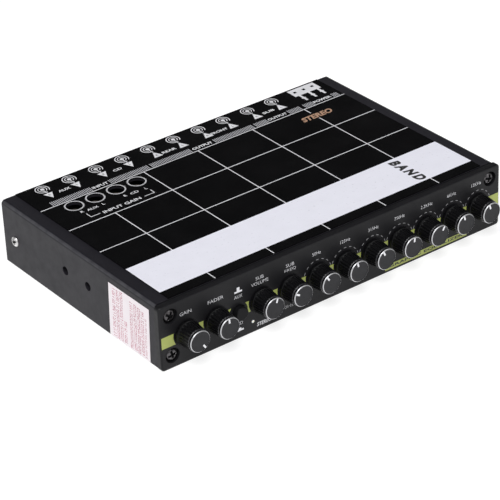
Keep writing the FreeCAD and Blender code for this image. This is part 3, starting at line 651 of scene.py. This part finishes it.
def print_sockets(ink):
    """Target symbols for the sockets, with arrows into the inputs and out of the outputs."""
    for i, x in enumerate(PHONO_X):
        for radius, width, start, end, steps in SYMBOL_RINGS:
            ink.arc(x, SYMBOL_Y, radius, width, start, end, steps)
        ink.shape(circle(x, SYMBOL_Y, SYMBOL_DOT_R, 24))
        ink.bar(x - STEM_HALF, STEM_Y[0], x + STEM_HALF, STEM_Y[1])
        ink.shape([(x + dx, y) for dx, y in (ARROW_IN if i < INPUT_COUNT else ARROW_OUT)])
    ink.words(SOCKET_WORDS, 1.8, 0.03)
    ink.words(HATCH_WORDS, 1.9, 0.03)


def print_power(ink):
    """Connector symbol: a block with three contacts and three prongs."""
    x0, y0, x1, y1 = BLOCK
    holes = [square(x, BLOCK_HOLE_Y, BLOCK_HOLE_HALF) for x in BLOCK_HOLES_X]
    ink.shape([(x0, y0), (x1, y0), (x1, y1), (x0, y1)], *holes)
    for x in PRONGS_X:
        ink.bar(x - PRONG_HALF, PRONG_FOOT_Y, x + PRONG_HALF, y0)
        ink.bar(x - CROSS_HALF, CROSS_Y[0], x - PRONG_HALF, CROSS_Y[1])
        ink.bar(x + PRONG_HALF, CROSS_Y[0], x + CROSS_HALF, CROSS_Y[1])


def print_trimmers(ink):
    """Rings with radial ticks round the trimmer holes, their labels and the bracket under them."""
    near, far = TRIM_TICK_R
    for x in TRIM_X:
        ink.arc(x, TRIM_Y, TRIM_RING_R, TRIM_RING_W, 0.0, 360.0, 64)
        for i in range(TRIM_TICKS):
            turn = math.radians(360.0 / TRIM_TICKS * i)
            c, s = math.cos(turn), math.sin(turn)
            ink.line((x + near * c, TRIM_Y + near * s), (x + far * c, TRIM_Y + far * s),
                     TRIM_TICK_W)
    ink.words(TRIM_WORDS, 1.65, 0.02)
    ink.text("INPUT GAIN", -53.0, 19.6, 2.0, 19.0, bold=0.02)
    for corners in BRACKET_BARS:
        ink.bar(*corners)


top_white = Print(TOP)
print_grid(top_white)
print_sockets(top_white)
print_power(top_white)
print_trimmers(top_white)
top_white.piece("print_top_white", INK_WHITE)

top_dark = Print(TOP, OVERPRINT_T)
for i, x in enumerate(PHONO_X):
    top_dark.text("RL"[i % 2], x, ARROW_LETTER_Y[i >= INPUT_COUNT], ARROW_LETTER_CAP)
top_dark.piece("print_top_dark", INK_BLACK)

top_grey = Print(TOP)
print_hatch(top_grey)
top_grey.piece("print_top_grey", INK_GREY)

top_band = Print(TOP)
top_band.bar(-EDGE_X, BAND_Y[0], EDGE_X, BAND_Y[1])
top_band.piece("print_top_band", INK_BAND)

band_word = Print(TOP_TURNED, OVERPRINT_T)
band_word.text("BAND", 36.5, 56.0, 5.1, 20.6, bold=0.055, shear=0.2, spacing=1.4)
band_word.piece("print_band_word", INK_BLACK)

top_copper = Print(TOP)
top_copper.text("STEREO", 59.4, 29.2, 3.9, 17.0, bold=0.04, shear=0.28)
top_copper.piece("print_top_copper", INK_COPPER)


# ---------------------------------------------------------------- printing on the front
def front_centre(node):
    """Middle of a control in X and Z, in millimetres on the front plane."""
    return middle(node, X) / MM, (middle(node, Z) - DATUM_Z) / MM


CONTROLS = [name[:-len("_knob")] for name in sorted(NODES) if name.endswith("_knob")]
BANDS = [name for name in CONTROLS if name.startswith("band_")]
KNOB_X = sorted(front_centre(name + "_knob")[0] for name in CONTROLS)
KNOB_Z = front_centre(CONTROLS[0] + "_knob")[1]
BUTTON_X, BUTTON_Z = front_centre("button_cap")

STRIPE_Z = (9.8, 15.0)
FLAT_X = 88.85               # half the width of the panel's flat face
EDGE_R = 0.8                 # radius of the panel's rounded edge
EDGE_TURN_DEG = 80.0         # how far round the edge the stripe goes
EDGE_STEPS = 8
KNOB_CLEAR_R = 6.35          # the stripe is cut away this far from a knob's axis
BUTTON_CLEAR_R = 4.6
BUTTON_CLEAR_X = BUTTON_X - 0.3
CUT_STEPS = 12
TITLE_BAR = (25.25, 0.65, 71.0, 3.1)

DASH_R = 7.2                 # the dashes round each band knob
DASH_W = 0.27
DASH_COUNT = 13
DASH_FIRST_DEG = 225.0
DASH_PITCH_DEG = 22.5
DASH_HALF_DEG = 5.2

CONTROL_WORDS = (
    ("GAIN", -76.9, 22.2, 5.6), ("FADER", -62.2, 22.1, 7.6), ("AUX", -51.1, 19.1, 4.0),
    ("CD", -50.8, 6.5, 2.8), ("SUB", -40.1, 23.7, 4.0), ("VOLUME", -40.1, 21.4, 8.6),
    ("SUB", -24.6, 23.5, 4.2), ("FREQ", -24.6, 21.2, 5.8), ("50Hz", -10.9, 23.5, None),
    ("125Hz", 4.2, 23.6, None), ("315Hz", 19.2, 23.7, None), ("750Hz", 33.4, 23.7, None),
    ("2.2KHz", 48.3, 23.7, None), ("6KHz", 62.3, 23.7, None), ("12KHz", 76.3, 23.7, None))
SWITCH_SIGNS = ((20.95, 1.6), (2.9, 0.7))            # foot and stem height: button out, button in
SIGN_BASE_X = (-52.9, -49.1)
SIGN_STEM_X = (-51.7, -50.3)
SIGN_BASE_H = 0.8


def cut_edge(x, sign, middle_z=KNOB_Z, radius=KNOB_CLEAR_R):
    """Points up the stripe's edge round the clear disc of a control, on one side of it."""
    points = []
    for i in range(CUT_STEPS + 1):
        z = STRIPE_Z[0] + (STRIPE_Z[1] - STRIPE_Z[0]) * i / CUT_STEPS
        points.append((x + sign * math.sqrt(radius ** 2 - (z - middle_z) ** 2), z))
    return points


def straight_edge(x):
    """Points up a plain end of the stripe."""
    return [(x, STRIPE_Z[0]), (x, STRIPE_Z[1])]


def print_stripe(ink):
    """Green stripe across the panel, cut away round the knobs and the button."""
    lefts = [straight_edge(-FLAT_X)] + [cut_edge(x, 1) for x in KNOB_X]
    rights = [cut_edge(x, -1) for x in KNOB_X] + [straight_edge(FLAT_X)]
    for left, right in zip(lefts, rights):
        if left[0][0] < BUTTON_X < right[0][0]:
            before, after = (cut_edge(BUTTON_CLEAR_X, sign, BUTTON_Z, BUTTON_CLEAR_R)
                             for sign in (-1, 1))
            ink.shape(left + before[::-1])
            ink.shape(after + right[::-1])
        else:
            ink.shape(left + right[::-1])


def stripe_end(sign):
    """The stripe's end, carried round the rounded edge of the panel."""
    verts, faces = [], []
    for lift in (-SUNK_T / MM, INK_T / MM):
        for i in range(EDGE_STEPS + 1):
            turn = math.radians(EDGE_TURN_DEG) * i / EDGE_STEPS
            x = FLAT_X + (EDGE_R + lift) * math.sin(turn)
            back = EDGE_R - (EDGE_R + lift) * math.cos(turn)
            verts += [FRONT.at(sign * x * MM, z * MM, -back * MM) for z in STRIPE_Z]
    row = 2 * (EDGE_STEPS + 1)
    for i in range(0, 2 * EDGE_STEPS, 2):
        faces.append((row + i, row + i + 2, row + i + 3, row + i + 1))
        faces.append((i, i + 1, i + 3, i + 2))
        faces.append((i, i + 2, row + i + 2, row + i))
        faces.append((i + 1, row + i + 1, row + i + 3, i + 3))
    faces.append((row - 2, row - 1, 2 * row - 1, 2 * row - 2))
    faces.append((0, row, row + 1, 1))
    return verts, [f if sign > 0 else f[::-1] for f in faces]


front_green = Print(FRONT)
print_stripe(front_green)
front_green.bar(*TITLE_BAR)
for sign in (-1, 1):
    front_green.mesh(*stripe_end(sign))
front_green.piece("print_front_green", INK_GREEN)

front_white = Print(FRONT, OVERPRINT_T)
front_white.words(CONTROL_WORDS, 1.45, -0.014)
for foot, stem in SWITCH_SIGNS:
    shelf = foot + SIGN_BASE_H
    front_white.bar(SIGN_BASE_X[0], foot, SIGN_BASE_X[1], shelf)
    front_white.bar(SIGN_STEM_X[0], shelf, SIGN_STEM_X[1], shelf + stem)
front_white.text("STEREO", -38.7, 2.3, 1.7, 7.4, bold=0.01, shear=0.25)
front_white.piece("print_front_white", INK_WHITE)

front_soft = Print(FRONT, OVERPRINT_T)
for name in BANDS:
    x, z = front_centre(name + "_knob")
    for i in range(DASH_COUNT):
        turn = DASH_FIRST_DEG - DASH_PITCH_DEG * i
        front_soft.arc(x, z, DASH_R, DASH_W, turn - DASH_HALF_DEG, turn + DASH_HALF_DEG, 4)
front_soft.text("50Hz", -26.6, 4.5, 1.5, 6.0)
front_soft.piece("print_front_soft", INK_SOFT)

front_dark = Print(FRONT, OVERPRINT_T)
front_dark.text("GRAPHIC EQUALIZER", 48.2, 1.88, 1.5, 41.5, bold=0.03)
front_dark.piece("print_front_dark", INK_BLACK)

# ---------------------------------------------------------------- the sticker and its printing
LABEL_TILT = 0.055                                   # the label is stuck on a little out of true
LABEL_T = 0.12 * MM
LABEL_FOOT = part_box("top_cover")[0].z / MM + 0.1     # it reaches down to the cover's edge
LABEL_HEAD_GAP = 2.0
LABEL_COLUMNS = (                                    # y, half width, share of the label's height
    (-25.5, 1.05, 1.0), (-28.1, 1.05, 1.0), (-30.7, 1.05, 1.0), (-33.4, 1.0, 0.45),
    (-37.6, 1.0, 0.95), (-40.2, 1.05, 0.97), (-42.8, 1.05, 0.95), (-45.3, 1.0, 0.9),
    (-47.5, 0.6, 0.8))
STROKE_PITCH = 0.78
STROKE_BREAK = 0.45                                  # extra space after one stroke in five
STROKE_HALF_GAP = 0.14                               # each stroke is split in two by a gap
label_low, label_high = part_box("side_label")
label_head = label_high.z / MM


def label_plane(depth):
    """A tilted plane in the label, at a depth below its outer face."""
    origin = (label_high.x - depth, LABEL_TILT * label_high.z, 0)
    return Plane(origin, (0, -1, 0), (0, -LABEL_TILT, 1))


def print_strokes(ink):
    """Columns of meaningless strokes in place of the label's text."""
    chance = random.Random(11)
    for y, half, share in LABEL_COLUMNS:
        z = LABEL_FOOT + 0.7 + 0.6 * chance.random()
        end = z + share * (label_head - LABEL_FOOT - LABEL_HEAD_GAP)
        while z < end:
            split = half * (chance.random() - 0.5)
            for a, b in ((-half, split - STROKE_HALF_GAP), (split + STROKE_HALF_GAP, half)):
                start = a - y + 0.3 * half * chance.random()
                ink.bar(start, z, b - y, z + 0.3 + 0.22 * chance.random())
            z += STROKE_PITCH + (STROKE_BREAK if chance.random() < 0.2 else 0.0)


label_sheet = Print(label_plane(0.0), LABEL_T)
label_sheet.bar(-label_high.y / MM, LABEL_FOOT, -label_low.y / MM, label_head)
sheet_piece = label_sheet.piece("label_sheet", LOOKS["label_paper"].material)
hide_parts("side_label")

label_ink = Print(label_plane(LABEL_T))
print_strokes(label_ink)
label_ink.piece("print_label", INK_PINK)

# ---------------------------------------------------------------- knobs
KNOB_RIBS = 24
KNOB_SEGMENTS = 240
RIB_DEPTH = 0.24
POINTER_END_DEG = 150.0      # where the pointer stands at the low stop, to the left of upright
# Materials of the knob; the shoulder's is a painted highlight, lighter than the skirt.
SKIRT, RING, CAP, MARK, SHOULDER_HIGHLIGHT = range(5)
KNOB_PROFILE = (             # distance out from the knob's back, radius, share of ribs, material
    (6.6, 0.0, 0.0, SKIRT), (6.6, 3.02, 0.0, SKIRT), (0.15, 3.02, 0.0, SKIRT),
    (0.0, 3.2, 0.0, SKIRT), (0.0, 5.5, 0.0, SKIRT), (0.1, 5.68, 0.0, SKIRT),
    (0.3, 5.75, 0.0, SKIRT), (1.1, 5.75, 0.0, SKIRT), (1.32, 5.68, 0.0, SKIRT),
    (1.42, 5.5, 0.0, SKIRT), (1.6, 5.47, 0.0, SKIRT), (1.9, 5.45, 0.8, SKIRT),
    (2.3, 5.42, 1.0, SKIRT), (4.6, 5.2, 1.0, SKIRT), (7.0, 5.0, 1.0, SKIRT),
    (7.3, 4.94, 0.7, SKIRT), (7.52, 4.84, 0.2, SHOULDER_HIGHLIGHT), (7.7, 4.68, 0.0, SHOULDER_HIGHLIGHT),
    (7.76, 4.5, 0.0, SKIRT), (7.78, 4.3, 0.0, SKIRT), (8.06, 4.3, 0.0, SKIRT),
    (8.08, 4.6, 0.0, SKIRT), (8.16, 4.72, 0.0, SKIRT), (8.26, 4.75, 0.0, SKIRT),
    (8.66, 4.75, 0.0, SKIRT), (8.72, 4.74, 0.0, RING), (8.96, 4.52, 0.0, RING),
    (9.0, 4.46, 0.0, RING), (8.99, 4.4, 0.0, CAP), (8.95, 4.3, 0.0, CAP),
    (8.92, 3.8, 0.0, CAP), (8.9, 1.8, 0.0, CAP), (8.9, 0.0, 0.0, CAP))
POINTER_LAYERS = (           # half width, distance out, inner and outer end: foot, edge, top
    (0.4, 8.8, 2.5, 4.4), (0.4, 9.0, 2.5, 4.4), (0.34, 9.05, 2.56, 4.34))


def rib_groove(turn):
    """Depth of the groove between ribs, by angle."""
    return RIB_DEPTH * (0.5 + 0.5 * math.cos(KNOB_RIBS * turn)) ** 2


def knob_body():
    """The turned and ribbed body, along -Y from the knob's back."""
    verts, faces, indices = [], [], []
    previous = None
    for out, radius, ribs, material in KNOB_PROFILE:
        if radius == 0:
            current = [len(verts)]
            verts.append(Vector((0, -out * MM, 0)))
        else:
            current = list(range(len(verts), len(verts) + KNOB_SEGMENTS))
            for i in range(KNOB_SEGMENTS):
                turn = 2 * math.pi * i / KNOB_SEGMENTS
                r = radius - ribs * rib_groove(turn)
                verts.append(Vector((r * math.sin(turn), -out, r * math.cos(turn))) * MM)
        if previous:
            for i in range(KNOB_SEGMENTS):
                j = (i + 1) % KNOB_SEGMENTS
                if len(previous) == 1:
                    faces.append((previous[0], current[i], current[j]))
                elif len(current) == 1:
                    faces.append((previous[i], current[0], previous[j]))
                else:
                    faces.append((previous[i], current[i], current[j], previous[j]))
                indices.append(material)
        previous = current
    return verts, faces, indices


def knob_mesh():
    """One knob with its raised pointer, shared by all the controls."""
    verts, faces, indices = knob_body()
    base = len(verts)
    for half, out, inner, outer in POINTER_LAYERS:
        for x, z in ((-half, inner), (half, inner), (half, outer), (-half, outer)):
            verts.append(Vector((x, -out, z)) * MM)
    pointer = [(base, base + 3, base + 2, base + 1), (base + 8, base + 9, base + 10, base + 11)]
    for layer in (0, 4):
        for i in range(4):
            a, b = base + layer + i, base + layer + (i + 1) % 4
            pointer.append((a, b, b + 4, a + 4))
    mesh = bpy.data.meshes.new("knob")
    mesh.from_pydata(verts, [], faces + pointer)
    for m in (LOOKS["knob_plastic"].material, coat_ring().material, coat_cap().material,
              INK_WHITE, painted_shoulder_highlight().material):
        mesh.materials.append(m)
    mesh.polygons.foreach_set("material_index", indices + [MARK] * len(pointer))
    mesh.shade_smooth()
    mesh.set_sharp_from_angle(angle=math.radians(38.0))
    return mesh


shared_knob = knob_mesh()
for name in CONTROLS:
    node = name + "_knob"
    rest_deg = -POINTER_END_DEG - JOINTS[name + "_turn"]["range_deg"][0]
    piece = bpy.data.objects.new(name + "_turned_knob", shared_knob)
    bpy.context.scene.collection.objects.link(piece)
    piece.location = (middle(node, X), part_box(node)[1].y, middle(node, Z))
    piece.rotation_euler = (0.0, math.radians(rest_deg), 0.0)
    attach(piece, name + "_control")
    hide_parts(node)

# ---------------------------------------------------------------- screws
HEAD_SEGMENTS = 96
HEAD_RINGS = 26              # even rings over the dome; closer ones take over at its rim
HEAD_RIM = (0.92, 0.95, 0.975, 0.99, 0.998)
THREAD_R = 1.4
PANEL_SCREW = {"seat": -1.9, "radius": 2.8, "tall": 1.65, "shank": 7.0,
               "arm": 1.8, "half": 0.46, "deep": 1.3}
SIDE_SCREW = {"seat": 0.0, "radius": 2.3, "tall": 0.98, "shank": 5.0,
              "arm": 1.6, "half": 0.5, "deep": 1.0}
PANEL_SCREW_TURNS = (12.0, 58.0, 33.0, 74.0)
SIDE_SCREW_TURNS = (25.0, 50.0)
# Materials of a screw head: its own metal, and painted shade in the cross recess.
OUTSIDE, CROSS_SHADE = 0, 1
PAINTED_SHADE_LOOK = coat_metal("look_recess_painted_shade", (0.02, 0.02, 0.022), 0.5).material


def cross_depth(u, v, arm, half, deep):
    """Depth of a Phillips recess at a point of the head, with sloping walls."""
    best = 0.0
    for along, across in ((abs(u), abs(v)), (abs(v), abs(u))):
        wall = min(1.0, max(0.0, (half - across) / 0.14 + 0.5))
        end = min(1.0, max(0.0, (arm - along) / 0.3 + 0.5))
        best = max(best, wall * end * deep * (1.0 - 0.4 * along / arm))
    return best


def screw(plane, u0, v0, turn_deg, seat, radius, tall, shank, arm, half, deep):
    """Pan-head screw: domed head with a cross recess painted dark as shade, and its shank; mm, from
    its seat outward.
    """
    c, s = math.cos(math.radians(turn_deg)), math.sin(math.radians(turn_deg))
    rows = [(radius * k / HEAD_RINGS, None) for k in range(1, HEAD_RINGS - 2)]
    rows += [(radius * share, None) for share in HEAD_RIM]
    rows += [(radius, 0.0), (THREAD_R, 0.0), (THREAD_R, -shank)]

    def height(r, u, v):
        dome = tall * (1.0 - (r / radius) ** 4.2) ** 0.5 * (1.0 - 0.12 * (r / radius) ** 2)
        return dome - cross_depth(u, v, arm, half, deep)

    def finish(r, turn):
        # faces in the cross recess take the painted shade
        in_cross = cross_depth(r * math.cos(turn), r * math.sin(turn), arm, half, 1.0) > 0.3
        return CROSS_SHADE if in_cross else OUTSIDE

    verts = [plane.at(u0 * MM, v0 * MM, (seat + height(0, 0, 0)) * MM)]
    for r, level in rows:
        for i in range(HEAD_SEGMENTS):
            t = 2 * math.pi * i / HEAD_SEGMENTS
            u, v = r * math.cos(t), r * math.sin(t)
            h = height(r, u, v) if level is None else level
            across, up = u0 + u * c - v * s, v0 + u * s + v * c
            verts.append(plane.at(across * MM, up * MM, (seat + h) * MM))
    verts.append(plane.at(u0 * MM, v0 * MM, (seat - shank) * MM))

    faces, indices = [], []
    for i in range(HEAD_SEGMENTS):
        j = (i + 1) % HEAD_SEGMENTS
        turn = 2 * math.pi * (i + 0.5) / HEAD_SEGMENTS
        faces.append((0, 1 + i, 1 + j))
        indices.append(CROSS_SHADE)
        for k, ((r0, _), (r1, level)) in enumerate(zip(rows, rows[1:])):
            a, b = 1 + k * HEAD_SEGMENTS, 1 + (k + 1) * HEAD_SEGMENTS
            faces.append((a + i, b + i, b + j, a + j))
            indices.append(finish((r0 + r1) / 2, turn) if level is None else OUTSIDE)
        last = 1 + (len(rows) - 1) * HEAD_SEGMENTS
        faces.append((last + i, len(verts) - 1, last + j))
        indices.append(OUTSIDE)
    return verts, faces, indices


def screw_piece(name, node, slot, parts):
    """Several screws as one piece that stands for a CAD node."""
    verts, faces, indices = [], [], []
    for more_verts, more_faces, more_indices in parts:
        base = len(verts)
        verts += more_verts
        faces += [tuple(base + i for i in f) for f in more_faces]
        indices += more_indices
    piece = add_piece(name, verts, faces, [LOOKS[slot].material, PAINTED_SHADE_LOOK], indices, 42.0)
    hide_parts(node)


panel_low, panel_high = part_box("front_panel_screws")
HEAD_R = PANEL_SCREW["radius"]
screw_xs = (panel_low.x / MM + HEAD_R, panel_high.x / MM - HEAD_R)
screw_zs = ((panel_low.z - DATUM_Z) / MM + HEAD_R, (panel_high.z - DATUM_Z) / MM - HEAD_R)
screw_places = [(x, z) for x in screw_xs for z in screw_zs]
screw_piece("panel_screw_heads", "front_panel_screws", "black_screw",
            [screw(FRONT, x, z, turn, **PANEL_SCREW)
             for (x, z), turn in zip(screw_places, PANEL_SCREW_TURNS)])

cover_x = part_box("top_cover")[1].x
LEFT = Plane((-cover_x, 0, 0), (0, -1, 0), (0, 0, 1))
RIGHT = Plane((cover_x, 0, 0), (0, 1, 0), (0, 0, 1))
side_y, side_z = middle("cover_screws", Y) / MM, middle("cover_screws", Z) / MM
screw_piece("side_screw_heads", "cover_screws", "nickel_screw",
            [screw(LEFT, -side_y, side_z, SIDE_SCREW_TURNS[0], **SIDE_SCREW),
             screw(RIGHT, side_y, side_z, SIDE_SCREW_TURNS[1], **SIDE_SCREW)])

# ---------------------------------------------------------------- studio
FLOOR_HALF = 8.0
FLOOR_Z = -0.00005           # just under the case, so that the two don't coincide
CAMERA_AZIMUTH_DEG = -36.199
CAMERA_ELEVATION_DEG = 30.402
CAMERA_ROLL_DEG = -2.551
CAMERA_DISTANCE_MM = 994.18
CAMERA_TARGET = (-5.81, -4.96, -0.22)                # mm, from the datum height
CAMERA_LENS_MM = 167.31
CAMERA_SENSOR_MM = 36.0


def studio_floor():
    """Pale seamless floor just under the case."""
    mesh = bpy.data.meshes.new("floor")
    corners = [(x, y, FLOOR_Z) for x, y in square(0.0, 0.0, FLOOR_HALF)]
    mesh.from_pydata(corners, [], [(0, 1, 2, 3)])
    floor = bpy.data.objects.new("floor", mesh)
    bpy.context.scene.collection.objects.link(floor)
    look = Recipe("floor_paper", (0.36, 0.36, 0.362), 0.9, Specular_IOR_Level=0.1)
    look.shader.inputs["Emission Color"].default_value = (1.0, 1.0, 1.0, 1.0)
    look.shader.inputs["Emission Strength"].default_value = 0.76
    mesh.materials.append(look.material)


def studio_world():
    """Pale near the horizon and dark above, so that the glossy top stays black."""
    world = bpy.data.worlds.new("studio")
    world.use_nodes = True
    bpy.context.scene.world = world
    tree = world.node_tree
    background = tree.nodes["Background"]
    coords = tree.nodes.new("ShaderNodeTexCoord")
    split = tree.nodes.new("ShaderNodeSeparateXYZ")
    fade = tree.nodes.new("ShaderNodeMapRange")
    fade.interpolation_type = "SMOOTHSTEP"
    for socket, number in (("From Min", 0.06), ("From Max", 0.34),
                           ("To Min", 0.85), ("To Max", 0.04)):
        fade.inputs[socket].default_value = number
    tree.links.new(coords.outputs["Generated"], split.inputs["Vector"])
    tree.links.new(split.outputs["Z"], fade.inputs["Value"])
    tree.links.new(fade.outputs["Result"], background.inputs["Strength"])
    background.inputs["Color"].default_value = (1.0, 1.0, 1.0, 1.0)


def hang(name, lamp, place):
    """Puts a light at a place and points it at the object."""
    obj = bpy.data.objects.new(name, lamp)
    obj.location = place
    obj.rotation_mode = "QUATERNION"
    obj.rotation_quaternion = (-Vector(place)).to_track_quat("-Z", "Y")
    bpy.context.scene.collection.objects.link(obj)


def softbox(name, place, size, watts):
    """Square area light."""
    lamp = bpy.data.lights.new(name, "AREA")
    lamp.shape = "SQUARE"
    lamp.size = size
    lamp.energy = watts
    hang(name, lamp, place)


def studio_lights():
    """Soft sun from the front left, and a softbox each above, at the left and in front."""
    sun = bpy.data.lights.new("sun", "SUN")
    sun.energy = 2.15
    sun.angle = math.radians(35.0)
    hang("sun", sun, (-0.46, -0.44, 0.9))
    softbox("top_box", (-0.35, -0.35, 1.25), 0.9, 6.0)
    softbox("left_box", (-1.2, 0.25, 0.75), 0.7, 2.2)
    softbox("front_box", (0.5, -1.2, 0.7), 0.7, 4.0)


def photo_camera():
    """Camera that stands where the photograph was taken from."""
    azimuth, elevation, roll = (math.radians(degrees) for degrees in
                                (CAMERA_AZIMUTH_DEG, CAMERA_ELEVATION_DEG, CAMERA_ROLL_DEG))
    level = math.cos(elevation)
    back = Vector((math.sin(azimuth) * level, -math.cos(azimuth) * level, math.sin(elevation)))
    right = (-back).cross(Vector((0, 0, 1))).normalized()
    up = right.cross(-back)
    x_axis = right * math.cos(roll) + up * math.sin(roll)
    y_axis = up * math.cos(roll) - right * math.sin(roll)
    lens = bpy.data.cameras.new("camera")
    lens.lens = CAMERA_LENS_MM
    lens.sensor_width = CAMERA_SENSOR_MM
    lens.clip_start = 0.01
    lens.clip_end = 50.0
    camera = bpy.data.objects.new("camera", lens)
    target = Vector(CAMERA_TARGET) * MM + Vector((0, 0, DATUM_Z))
    turn = Matrix((x_axis, y_axis, back)).transposed().to_4x4()
    camera.matrix_world = Matrix.Translation(target + back * CAMERA_DISTANCE_MM * MM) @ turn
    bpy.context.scene.collection.objects.link(camera)
    bpy.context.scene.camera = camera


studio_floor()
studio_world()
studio_lights()
photo_camera()
bpy.context.scene.view_settings.view_transform = "Standard"
